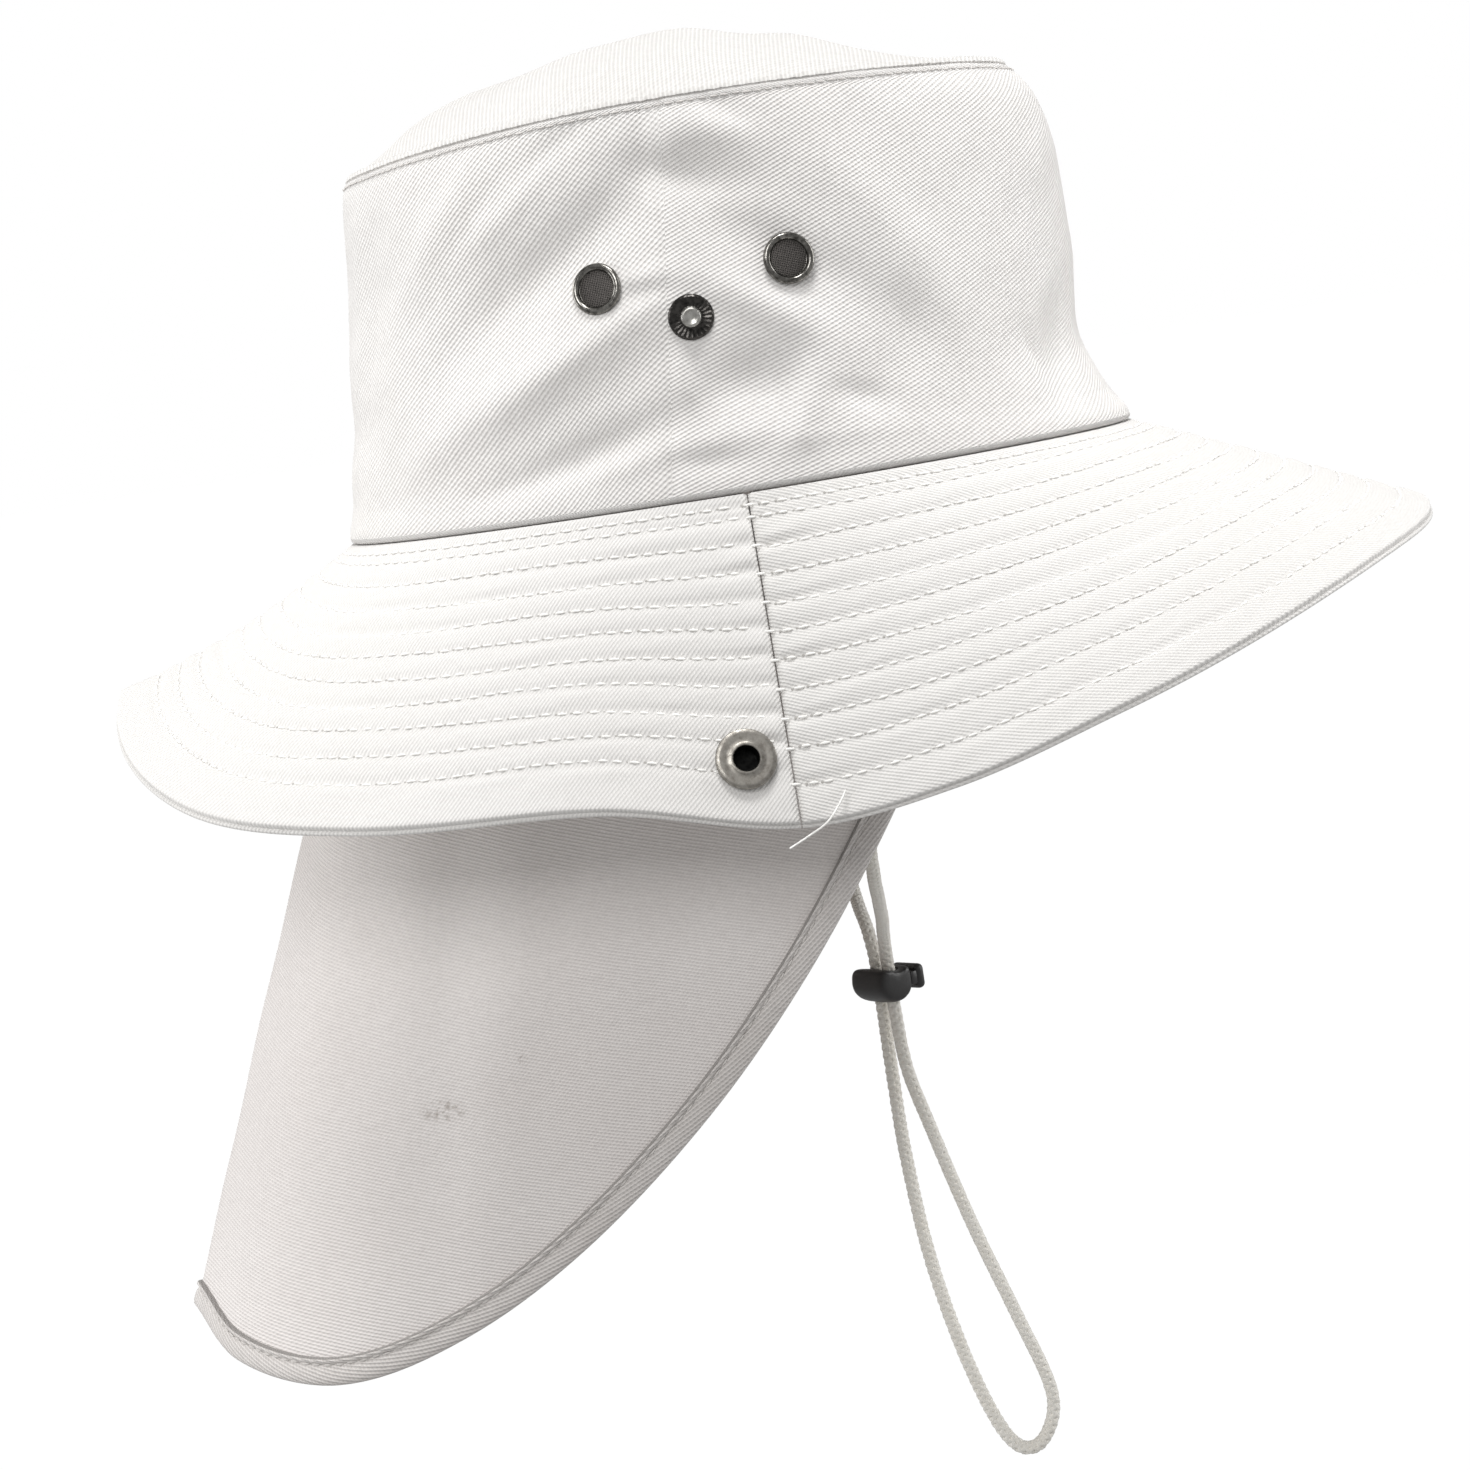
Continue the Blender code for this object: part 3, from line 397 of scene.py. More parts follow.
# Faint stains on the flap: x, z, half sizes, strength and colour, in metres
stains = ((-0.0978, -0.1394, (0.0070, 0.0034), 0.75, (0.36, 0.315, 0.28)),
          (-0.0759, -0.1285, (0.0016, 0.0012), 0.9, (0.30, 0.26, 0.23)))
crownCloth = twillCloth("crown twill", clothLooks["crown"])
tipCloth = twillCloth("tip twill", clothLooks["tip"])
brimFrontCloth = twillCloth("front brim twill", clothLooks["brimFront"])
brimBackCloth = twillCloth("back brim twill", clothLooks["brimBack"])
flapCloth = twillCloth("flap twill", clothLooks["flap"], stains)
tapeCloth = twillCloth("binding twill", clothLooks["tape"], edge=0.0012)
threadWhite = plainThread("stitching thread", (0.88, 0.865, 0.83), (0.97, 0.96, 0.935))
threadGrey = plainThread("binding thread", (0.60, 0.57, 0.545), (0.78, 0.75, 0.72))
# the needle holes' darkness is painted shade on flat discs, not a thread or cloth colour
paintedHoleShade = plainThread("needle hole painted shade", (0.36, 0.345, 0.325), (0.50, 0.48, 0.455))
ringMetal = mottledMetal("aged nickel", {"dark": (0.20, 0.185, 0.165), "light": (0.40, 0.38, 0.345), "roughness": 0.40})
ventMetal = mottledMetal("dark vent nickel", {"dark": (0.07, 0.066, 0.06), "light": (0.30, 0.29, 0.27), "roughness": 0.20})
# near-black finish inside the socket's hole: painted shade of its depth
socketPaintedShade = mottledMetal("socket hole painted shade", {"dark": (0.008, 0.008, 0.008), "light": (0.02, 0.02, 0.019), "roughness": 0.6})
studMetal = mottledMetal("darkened nickel", {"dark": (0.022, 0.021, 0.02), "light": (0.09, 0.085, 0.08), "roughness": 0.26})
postMetal = mottledMetal("bright nickel", {"dark": (0.32, 0.31, 0.29), "light": (0.60, 0.59, 0.56), "roughness": 0.30})
print("materials ready")

# The head oval, shared by crown, brim and flap
head = {"length": 0.204, "width": 0.162, "gap": 0.0003}
ovalTurns = np.linspace(0.0, 2 * math.pi, 1441)
ovalEdge = np.stack((head["length"] / 2 * np.cos(ovalTurns), head["width"] / 2 * np.sin(ovalTurns)), axis=1)
ovalRun = np.concatenate(([0.0], np.cumsum(np.linalg.norm(np.diff(ovalEdge, axis=0), axis=1))))
girth = float(ovalRun[-1])
zUp = np.array((0.0, 0.0, 1.0))


def seamPoint(share):  # share of the way round: 0 front, 0.25 left, 0.5 back, 0.75 right
    turn = np.interp(np.mod(share, 1.0) * girth, ovalRun, ovalTurns)
    base = np.stack((head["length"] / 2 * np.cos(turn), head["width"] / 2 * np.sin(turn), 0 * turn), axis=-1)
    out = unit(np.stack((np.cos(turn) / head["length"], np.sin(turn) / head["width"], 0 * turn), axis=-1))
    return turn, base, out


# Chin cord, first of the pieces
cordSizes = {"diameter": 0.0038, "strands": 8, "strandWidth": 0.00150, "lay": 0.0085, "step": 0.0007}
cordRoute = (
    (0.0300, -0.0702, -0.0047), (0.0298, -0.0704, -0.0180), (0.0272, -0.0722, -0.0420),
    (0.0215, -0.0738, -0.0670), (0.0165, -0.0720, -0.0860), (0.0162, -0.0610, -0.0985),
    (0.0170, -0.0420, -0.1080), (0.0178, -0.0210, -0.1160), (0.0180, -0.0060, -0.1225),
    (0.01798, -0.0021, -0.1290), (0.01798, -0.00189, -0.1340), (0.01798, -0.00189, -0.1390),
    (0.01798, -0.00189, -0.1440), (0.0188, -0.0022, -0.1600), (0.0225, -0.0025, -0.1765),
    (0.0290, -0.0026, -0.2025), (0.0365, -0.0024, -0.2275), (0.0425, -0.0018, -0.2475),
    (0.0430, -0.0008, -0.2580), (0.0385, 0.0004, -0.2662), (0.0325, 0.0010, -0.2662),
    (0.0272, 0.0016, -0.2570), (0.0215, 0.0022, -0.2370), (0.0170, 0.0025, -0.2115),
    (0.0150, 0.0025, -0.1845), (0.0148, 0.0022, -0.1620), (0.01502, 0.00189, -0.1440),
    (0.01502, 0.00189, -0.1390), (0.01502, 0.00189, -0.1340), (0.01502, 0.0021, -0.1290),
    (0.0143, 0.0060, -0.1225), (0.0130, 0.0210, -0.1160), (0.0124, 0.0420, -0.1080),
    (0.0130, 0.0610, -0.0985), (0.0155, 0.0720, -0.0860), (0.0215, 0.0738, -0.0670),
    (0.0272, 0.0722, -0.0420), (0.0298, 0.0704, -0.0180), (0.0300, 0.0702, -0.0047))


def smoothRoute(route, step):  # evenly spaced points on a smooth curve through the route
    route = np.array(route)
    dense = []
    for i in range(len(route) - 1):
        before, after = route[max(i - 1, 0)], route[min(i + 2, len(route) - 1)]
        here, there = route[i], route[i + 1]
        t = np.linspace(0, 1, 40, endpoint=False)[:, None]
        dense.append(0.5 * (2 * here + (there - before) * t + (2 * before - 5 * here + 4 * there - after) * t**2
                            + (3 * here - before - 3 * there + after) * t**3))
    dense = np.concatenate(dense + [route[-1:]])
    run = np.concatenate(([0.0], np.cumsum(np.linalg.norm(np.diff(dense, axis=0), axis=1))))
    even = np.linspace(0, run[-1], max(2, int(run[-1] / step)) + 1)
    return np.stack([np.interp(even, run, dense[:, k]) for k in range(3)], axis=1), even


def sweepFrames(points):  # two cross directions that don't twist along a line of points
    ahead = unit(np.gradient(points, axis=0))
    first = np.empty_like(points)
    side = np.cross(ahead[0], (0.31, 0.86, 0.4))
    for i, way in enumerate(ahead):
        side = side - way * side.dot(way)
        side = side / np.linalg.norm(side)
        first[i] = side
    return first, np.cross(ahead, first)


def tubeMesh(lines, radii, sides, flatten=1.0):  # closed tubes along several lines, as verts and faces
    verts, faces = [], []
    count = 0
    ring = np.linspace(0, 2 * math.pi, sides, endpoint=False)
    for line, radius in zip(lines, radii):
        first, second = sweepFrames(line)
        width = np.broadcast_to(radius, (len(line),))[:, None, None]
        loop = (np.cos(ring)[None, :, None] * first[:, None, :]
                + flatten * np.sin(ring)[None, :, None] * second[:, None, :]) * width
        body = line[:, None, :] + loop
        verts.append(body.reshape(-1, 3))
        rows = len(line)
        for i in range(rows - 1):
            for j in range(sides):
                k = (j + 1) % sides
                faces.append((count + i * sides + j, count + i * sides + k,
                              count + (i + 1) * sides + k, count + (i + 1) * sides + j))
        faces.append(tuple(count + j for j in range(sides))[::-1])
        faces.append(tuple(count + (rows - 1) * sides + j for j in range(sides)))
        count += rows * sides
    return np.concatenate(verts), faces


def meshPiece(name, verts, faces):
    mesh = bpy.data.meshes.new(name)
    mesh.from_pydata([tuple(v) for v in verts], [], faces)
    piece = bpy.data.objects.new(name, mesh)
    bpy.context.scene.collection.objects.link(piece)
    mesh.update()
    return piece


cordLine, cordRun = smoothRoute(cordRoute, cordSizes["step"])
cordFirst, cordSecond = sweepFrames(cordLine)
strandLines = []
for n in range(cordSizes["strands"]):
    spin = 1 if n % 2 else -1
    turn = spin * 2 * math.pi * cordRun / cordSizes["lay"] + 2 * math.pi * (n // 2) / (cordSizes["strands"] / 2)
    weave = np.sin(2 * turn * spin + (0 if n % 2 else math.pi))
    reach = cordSizes["diameter"] / 2 - cordSizes["strandWidth"] * 0.52 + 0.00016 * weave
    strandLines.append(cordLine + reach[:, None] * (np.cos(turn)[:, None] * cordFirst
                                                     + np.sin(turn)[:, None] * cordSecond))
verts, faces = tubeMesh(strandLines, [cordSizes["strandWidth"] / 2] * cordSizes["strands"], 6)
core, coreFaces = tubeMesh([cordLine[::3]], [cordSizes["diameter"] / 2 - cordSizes["strandWidth"] * 0.7], 8)
faces += [tuple(i + len(verts) for i in face) for face in coreFaces]
chinCord = meshPiece("chinCord", np.concatenate((verts, core)), faces)


def cottonCord():
    material, tree, shader = startMaterial("braided cotton")
    shader.inputs["Roughness"].default_value = 0.85
    shader.inputs["Sheen Weight"].default_value = 0.35
    shader.inputs["Specular IOR Level"].default_value = 0.2
    place = tree.nodes.new("ShaderNodeTexCoord")
    fibre = noiseNode(tree, place.outputs["Object"], 1800.0, 3.0, 0.7)
    patch = spread(tree, noiseNode(tree, place.outputs["Object"], 160.0, 3.0, 0.6), 0.3, 0.7)
    fine = mixColour(tree, fibre, (0.80, 0.77, 0.70), (0.98, 0.96, 0.915))
    tree.links.new(mixColour(tree, patch, (0.86, 0.83, 0.765), fine), shader.inputs["Base Color"])
    bumpInto(tree, shader, fibre, 0.00025, 0.8)
    return material


finishPiece(chinCord, "hat", cottonCord(), ("chin_cord",), smooth=80)
print("chin cord:", round(float(cordRun[-1]), 4), "m,", len(chinCord.data.polygons), "faces")

# Crown
crown = {
    "height": 0.095, "cloth": 0.0013, "tipLength": 0.172, "tipWidth": 0.144, "tipSetback": 0.002,
    "tipRise": 0.020, "tipLedge": 0.003, "dipFront": 0.0015, "dipBack": 0.0045, "tipLap": 0.0019,
    "columns": 430, "rows": 70, "curl": 0.0010, "topStitch": 0.0013, "sideSeam": 104 / 430,
    "seamLean": 0.023, "seamReach": 0.06, "seamDip": 0.00035, "frontTurn": 15.0, "frontFine": 1.22,
    "tipColumns": 300, "tipRows": 44, "deepen": 1.15,
    # height, then the lean at the front, side and back
    "wall": ((0.000, 0.00, 0.00, 0.00), (0.025, 0.00, 0.00, 0.00), (0.100, 0.24, 0.10, 0.14),
             (0.220, 0.47, 0.22, 0.20), (0.360, 0.48, 0.34, 0.35), (0.500, 0.46, 0.46, 0.52),
             (0.640, 0.47, 0.58, 0.66), (0.780, 0.50, 0.70, 0.76), (0.900, 0.64, 0.82, 0.85),
             (0.965, 0.83, 0.92, 0.92), (1.000, 1.00, 1.00, 1.00)),
    # round, height, tilt, length, width, depth
    "folds": ((0.685, 0.66, 26.0, 0.38, 0.085, -0.030), (0.669, 0.37, 20.0, 0.40, 0.075, 0.026),
              (0.679, 0.14, 14.0, 0.36, 0.050, -0.018), (0.620, 0.78, 40.0, 0.20, 0.070, 0.012),
              (0.761, 0.91, -12.0, 0.13, 0.050, 0.018), (0.750, 0.80, -15.0, 0.17, 0.050, -0.020),
              (0.735, 0.97, 80.0, 0.12, 0.040, -0.018), (0.784, 0.58, -34.0, 0.30, 0.070, -0.020),
              (0.770, 0.46, -30.0, 0.17, 0.050, 0.018), (0.762, 0.27, -9.0, 0.13, 0.085, -0.034),
              (0.785, 0.20, 59.0, 0.17, 0.045, 0.016), (0.808, 0.19, -15.0, 0.09, 0.035, -0.012),
              (0.733, 0.29, -76.0, 0.08, 0.030, 0.010), (0.840, 0.58, -57.0, 0.32, 0.100, 0.018),
              (0.835, 0.30, 50.0, 0.20, 0.080, -0.014), (0.909, 0.22, -70.0, 0.07, 0.030, -0.010),
              (0.930, 0.22, 60.0, 0.20, 0.080, -0.020),
              (0.000, 0.30, 4.0, 0.45, 0.10, -0.012), (0.085, 0.48, -62.0, 0.36, 0.12, -0.018),
              (0.150, 0.66, -50.0, 0.34, 0.12, 0.016), (0.205, 0.42, -40.0, 0.38, 0.11, -0.022),
              (0.290, 0.56, 44.0, 0.40, 0.12, -0.022), (0.335, 0.24, -18.0, 0.34, 0.09, 0.018),
              (0.420, 0.44, 70.0, 0.36, 0.11, -0.018), (0.500, 0.32, -6.0, 0.44, 0.10, -0.014),
              (0.560, 0.62, 78.0, 0.34, 0.10, -0.014)),
    "creases": ((0.739, 0.08, -14.0, 0.13, 0.030, -0.009), (0.721, 0.57, 2.0, 0.08, 0.025, 0.008),
                (0.722, 0.53, 0.0, 0.09, 0.022, -0.006), (0.715, 0.12, 6.0, 0.30, 0.030, 0.006),
                (0.800, 0.10, -6.0, 0.35, 0.030, 0.005), (0.690, 0.94, 20.0, 0.10, 0.030, -0.006),
                (0.770, 0.96, -24.0, 0.08, 0.025, -0.006), (0.655, 0.78, 28.0, 0.20, 0.040, 0.007),
                (0.700, 0.44, 24.0, 0.24, 0.030, 0.005)),
    # along half the tip's length, then the share of its rise
    "ridge": ((-1.00, 0.00), (-0.90, 0.20), (-0.80, 0.46), (-0.64, 0.69), (-0.44, 0.78), (-0.22, 0.93),
              (0.05, 0.98), (0.24, 0.76), (0.40, 0.68), (0.52, 0.50), (0.70, 0.18), (0.85, 0.05), (1.00, 0.00)),
}


def scaled(folds, reach, size):  # fold places as lengths along the wall
    return [(place * reach, height * size, tilt, length, width, depth * crown["deepen"])
            for place, height, tilt, length, width, depth in folds]


crownFolds = scaled(crown["folds"], girth, crown["height"])
crownCreases = scaled(crown["creases"], girth, crown["height"])


def crownBase(share, height, fine=True):  # the wall's outside before its edges are turned in
    turn, base, out = seamPoint(share)
    tip = np.stack((crown["tipLength"] / 2 * np.cos(turn) - crown["tipSetback"],
                    crown["tipWidth"] / 2 * np.sin(turn), 0 * turn), axis=-1)
    facing = np.cos(turn)
    front, back = np.maximum(facing, 0) ** 2, np.maximum(-facing, 0) ** 2
    lean = (front * smoothRead(crown["wall"], 1, height) + back * smoothRead(crown["wall"], 3, height)
            + (1 - front - back) * smoothRead(crown["wall"], 2, height))
    run, rise = np.mod(share, 1.0) * girth, height * crown["height"]
    depth = foldDepth(crownFolds, run, rise, crown["height"], girth)
    if fine:
        depth = depth + foldDepth(crownCreases, run, rise, crown["height"], girth)
        depth = depth + 0.00016 * ripple(run, rise, 3, 0.022) + 0.00005 * ripple(run, rise, 5, 0.008)
    depth = depth * np.clip((height - 0.025) / 0.08, 0, 1)
    point = base + (tip - base) * lean[..., None] + out * depth[..., None]
    point[..., 2] = height * (crown["height"] - crown["dipFront"] * front - crown["dipBack"] * back)
    return point, out


def crownSurface(share, height):
    point, out = crownBase(share, height)
    rise = height * crown["height"]
    left = crown["height"] - rise
    band = 0.00035 * easeStep(-left, -crown["topStitch"] - 0.0006, -crown["topStitch"] + 0.0006)
    stitchDip = 0.00022 * np.exp(-((left - crown["topStitch"]) / 0.0006) ** 2)
    curl = crown["curl"]
    for edge in (left, rise):
        t = np.clip(1 - edge / curl, 0, 1)
        point = point - out * (curl * (1 - np.sqrt(1 - t * t * 0.98)))[..., None]
    return point + out * (band - stitchDip)[..., None]


def crownGrid(u, v):  # the columns lean with the side seams, where the cloth dips
    height = np.where(v < 0.06, v / 0.06 * 0.016,
                      np.where(v > 0.92, 0.975 + (v - 0.92) / 0.08 * 0.033, 0.016 + (v - 0.06) / 0.86 * 0.959))
    near, far = u - crown["sideSeam"], u - 1 + crown["sideSeam"]
    pull = np.exp(-(far / crown["seamReach"]) ** 2) - np.exp(-(near / crown["seamReach"]) ** 2)
    share = u + 0.5 + crown["seamLean"] * (1 - height) * pull
    away = np.minimum(np.abs(near), np.abs(far)) * girth
    dip = crown["seamDip"] * np.exp(-(away / 0.0011) ** 2)
    return crownSurface(share, height) - seamPoint(share)[2] * dip[..., None]


def crownUv(u, v, middle):  # the front's cloth is cut a little more level than the back's
    run, rise = (u - np.where(u > 0.5, 1.0, 0.0)) * girth, v * crown["height"]
    turn, fine = math.radians(crown["frontTurn"]), crown["frontFine"]
    frontRun = (u - 0.5) * girth
    front = np.abs(middle - 0.5) < 0.5 - crown["sideSeam"]
    across = np.where(front, fine * (frontRun * math.cos(turn) - rise * math.sin(turn)), run)
    upward = np.where(front, fine * (frontRun * math.sin(turn) + rise * math.cos(turn)), rise)
    return np.stack((across, upward), axis=-1)


crownSide = clothGrid("crownSide", crown["columns"], crown["rows"], crownGrid, crownUv)
mergeDoubles(crownSide)
facesOut(crownSide, (0, -head["width"] / 2, 0.04), (0, -1, 0))
thicken(crownSide, crown["cloth"], -1.0)


def tipSurface(share, reach):  # reach is 1 at the seam and 0 in the middle
    middle = np.array((-crown["tipSetback"], 0.0, crown["height"]))
    edge, out = crownBase(share, np.ones_like(share), fine=False)
    halfLength, halfWidth = crown["tipLength"] / 2, crown["tipWidth"] / 2
    ledge = 1.0 - crown["tipLedge"] / halfWidth
    point = middle + (edge - middle) * reach[..., None]
    along = (point[..., 0] - middle[0]) / (halfLength * ledge)
    across = np.abs(point[..., 1]) / (halfWidth * ledge * np.sqrt(np.maximum(1 - along**2, 1e-9)))
    rise = crown["tipRise"] * smoothRead(crown["ridge"], 1, along) * np.maximum(1 - across**2, 0) ** 0.8
    rise = np.where(reach >= ledge, 0.0, rise)
    left = (1 - reach) * halfWidth
    fade = easeStep(left, 0.002, 0.012)
    wrinkle = 0.00035 * ripple(point[..., 0], point[..., 1], 11, 0.034) * fade
    pucker = 0.00016 * np.sin(share * girth * 2 * math.pi / 0.0042) * np.exp(-((left - 0.0015) / 0.002) ** 2)
    curl = 0.0016
    t = np.clip(1 - left / curl, 0, 1)
    drop = curl * (1 - np.sqrt(1 - t * t * 0.98))
    point[..., 2] += rise + crown["tipLap"] + wrinkle + pucker - drop
    point[..., 2] = np.where(reach >= ledge, edge[..., 2] + crown["tipLap"] + pucker - drop, point[..., 2])
    return point


def tipGrid(u, v):
    reach = np.where(v < 0.12, 1 - v / 0.12 * 0.03, 0.97 * (1 - (v - 0.12) / 0.88))
    return tipSurface(u + 0.5, reach)


def tipUv(u, v, middle):
    return tipGrid(u, v)[:, :2]


crownTip = clothGrid("crownTip", crown["tipColumns"], crown["tipRows"], tipGrid, tipUv)
mergeDoubles(crownTip)
facesOut(crownTip, (0, 0, 0.115), (0, 0, 1))
thicken(crownTip, crown["cloth"], -1.0)
finishPiece(crownTip, "hat", tipCloth, ("crown_tip",))
print("crown made")

# Brim
brim = {
    "width": 0.081, "cloth": 0.0024, "margin": 0.0065, "lip": 0.0009, "puff": 0.00050, "pitch": 0.0039,
    # round, then slope at the seam and at the edge in degrees, and the share of the width
    "sections": ((0.000, 23.0, 24.0, 1.00), (0.070, 29.0, 31.0, 0.98), (0.150, 47.0, 52.0, 0.99),
                 (0.200, 57.0, 67.0, 1.02), (0.250, 65.0, 75.0, 1.02), (0.312, 59.0, 60.0, 0.95),
                 (0.385, 50.0, 49.0, 1.02), (0.435, 43.0, 36.0, 1.05), (0.500, 32.0, 14.0, 0.90)),
    # where the stitch rows lie, in millimetres from the seam at the side
    "rows": {"front": (3.0, 6.2, 13.5, 20.7, 27.9, 35.1, 42.3, 49.5, 56.7, 63.9, 72.4),
             "back": (3.0, 6.0, 12.6, 19.6, 26.6, 33.6, 40.6, 47.6, 54.8, 62.0, 69.2)},
    "columns": 330, "seamPuff": 0.9,
}


def brimLine(share, along):  # the brim's upper side and its facing; along is a share of the width
    turn, base, out = seamPoint(share)
    around = np.minimum(np.mod(share, 1.0), 1 - np.mod(share, 1.0))
    width = brim["width"] * smoothRead(brim["sections"], 3, around)
    start = np.radians(smoothRead(brim["sections"], 1, around))
    end = np.radians(smoothRead(brim["sections"], 2, around))
    bend = np.where(np.abs(end - start) < 1e-4, 1e-4, end - start)
    t = np.maximum(along, 0.0)
    slope = start + bend * t
    reach = (np.sin(slope) - np.sin(start)) / bend * width + np.minimum(along, 0.0) * brim["margin"]
    fall = (np.cos(start) - np.cos(slope)) / bend * width
    point = base + out * reach[..., None] - zUp * (fall + head["gap"])[..., None]
    tilt = np.where(along < 0, 0.0, slope)
    facing = out * np.sin(tilt)[..., None] + zUp * np.cos(tilt)[..., None]
    return point, facing, width


def brimQuilt(share, along, width, rows, seed):  # how far the cloth swells between its stitch rows
    away = np.maximum(along, 0.0) * brim["width"] * 1.02
    run = np.mod(share, 1.0) * girth * (1 + 0.35 * np.maximum(along, 0))
    near = np.full(np.broadcast(away, run).shape, 1.0)
    pucker = np.zeros_like(near)
    for k, row in enumerate(rows):
        gap = np.abs(away - row / 1000)
        near = np.minimum(near, gap)
        pucker += np.exp(-(gap / 0.0018) ** 2) * np.sin(2 * math.pi * run / brim["pitch"] + 1.7 * k)
    swell = brim["puff"] * (1 - np.exp(-(near / 0.0013) ** 2)) - brim["puff"] * 0.5
    swell = swell * (1 + 0.35 * ripple(run, away, seed, 0.018))
    return (swell + 0.00007 * pucker) * easeStep(away, 0.0005, 0.003)


def brimStations():  # along and level of each line of the brim's section, out on top and back below
    half = brim["cloth"] / 2
    lip = brim["lip"] / brim["width"]
    turnIn = half / brim["width"]
    line = [(-1.0, 0.0), (-0.5, 0.0)]
    line += [(t, 0.0) for t in np.linspace(0.0, 1 - lip - turnIn * 0.5, 84)]
    for a in (30, 60, 90):
        line.append((1 - lip - turnIn * 0.5 * (1 - math.sin(math.radians(a))), half * (1 - math.cos(math.radians(a))) * 0.9))
    line.append((1 - lip, half * 0.98))
    for a in (20, 50, 80, 110, 140, 170):
        line.append((1 - turnIn * 0.5 * (1 - math.sin(math.radians(a))), half * (1.5 - 0.5 * math.cos(math.radians(a)))))
    line += [(t, brim["cloth"]) for t in np.linspace(1 - turnIn * 0.6, 0.0, 72)]
    line += [(-0.5, brim["cloth"]), (-1.0, brim["cloth"])]
    return np.array(line)


stations = brimStations()


def brimPanel(name, first, last, rows, seed, material, node, proud):
    slack = head["gap"] / 2 / girth
    count = len(stations) - 1

    def share(u):
        return first + slack + (last - first - 2 * slack) * u

    def placeAt(u, v):
        i = np.clip(np.round(v * count).astype(int), 0, count)
        along, down = stations[i, 0], stations[i, 1]
        point, facing, width = brimLine(share(u), along)
        ends = np.minimum(u, 1 - u) * (last - first) * girth * (1 + 0.35 * np.maximum(along, 0))
        swell = brimQuilt(share(u), along, width, rows, seed)
        swell = swell * (1 + brim["seamPuff"] * np.exp(-(ends / 0.009) ** 2))
        upper = down < brim["cloth"] * 0.45
        lower = down > brim["cloth"] * 0.95
        level = -down + np.where(upper, swell, 0.0) - np.where(lower, swell, 0.0)
        fade = np.sqrt(1 - np.clip(1 - ends / 0.0014, 0, 1) ** 2 * 0.9)
        middle = -brim["cloth"] / 2
        level = middle + (level - middle) * fade
        level = level + proud * np.exp(-(ends / 0.006) ** 2) * easeStep(along, 0.0, 0.1)
        return point + facing * level[..., None]

    flatRadius = 0.205

    def uvAt(u, v, middle):  # the panel laid out flat, its middle upwards
        i = np.clip(np.round(v * count).astype(int), 0, count)
        along = stations[i, 0]
        turn = (u - 0.5) * 1.40
        radius = flatRadius + along * brim["width"]
        return np.stack((radius * np.sin(turn), radius * np.cos(turn)), axis=-1)

    panel = clothGrid(name, brim["columns"], count, placeAt, uvAt)
    closeEnds(panel, brim["columns"], count)
    return panel


def closeEnds(panel, across, down):  # joins the margin's two edges, and closes the short ends
    data = bmesh.new()
    data.from_mesh(panel.data)
    data.verts.ensure_lookup_table()
    wide = across + 1
    for end in (0, across):
        low, high = 0, down
        while high - low > 2:
            corners = [data.verts[low * wide + end], data.verts[(low + 1) * wide + end],
                       data.verts[(high - 1) * wide + end], data.verts[high * wide + end]]
            data.faces.new(corners)
            low, high = low + 1, high - 1
        if high - low == 2:
            data.faces.new([data.verts[low * wide + end], data.verts[(low + 1) * wide + end],
                            data.verts[high * wide + end]])
    for i in range(across):
        data.faces.new([data.verts[i], data.verts[i + 1], data.verts[down * wide + i + 1], data.verts[down * wide + i]])
    bmesh.ops.recalc_face_normals(data, faces=data.faces[:])
    data.to_mesh(panel.data)
    data.free()


brimFront = brimPanel("brimFront", -0.25, 0.25, brim["rows"]["front"], 21, brimFrontCloth, "brim_front", -0.0003)
brimBack = brimPanel("brimBack", 0.25, 0.75, brim["rows"]["back"], 22, brimBackCloth, "brim_back", 0.0003)
print("brim made")

# Stitches: a thread capsule and a flat dark disc of painted needle-hole shade, modelled once and copied along each row
stitch = {"length": 0.0027, "radius": 0.00036, "rise": 0.00026, "hole": 0.00036, "overSeam": 0.0026}


def buildCapsule():  # one stitch, along X
    clearSelection()
    bpy.ops.mesh.primitive_uv_sphere_add(segments=6, ring_count=4, radius=1.0, rotation=(0, math.pi / 2, 0))
    capsule = named("stitchSample")
    settle(capsule)
    verts = np.array([v.co[:] for v in capsule.data.vertices])
    faces = [tuple(face.vertices) for face in capsule.data.polygons]
    bpy.data.objects.remove(capsule)
    verts[:, 1:] *= np.where(np.abs(verts[:, :1]) > 0.1, 0.95, 1.05)
    return verts, faces


capsuleVerts, capsuleFaces = buildCapsule()


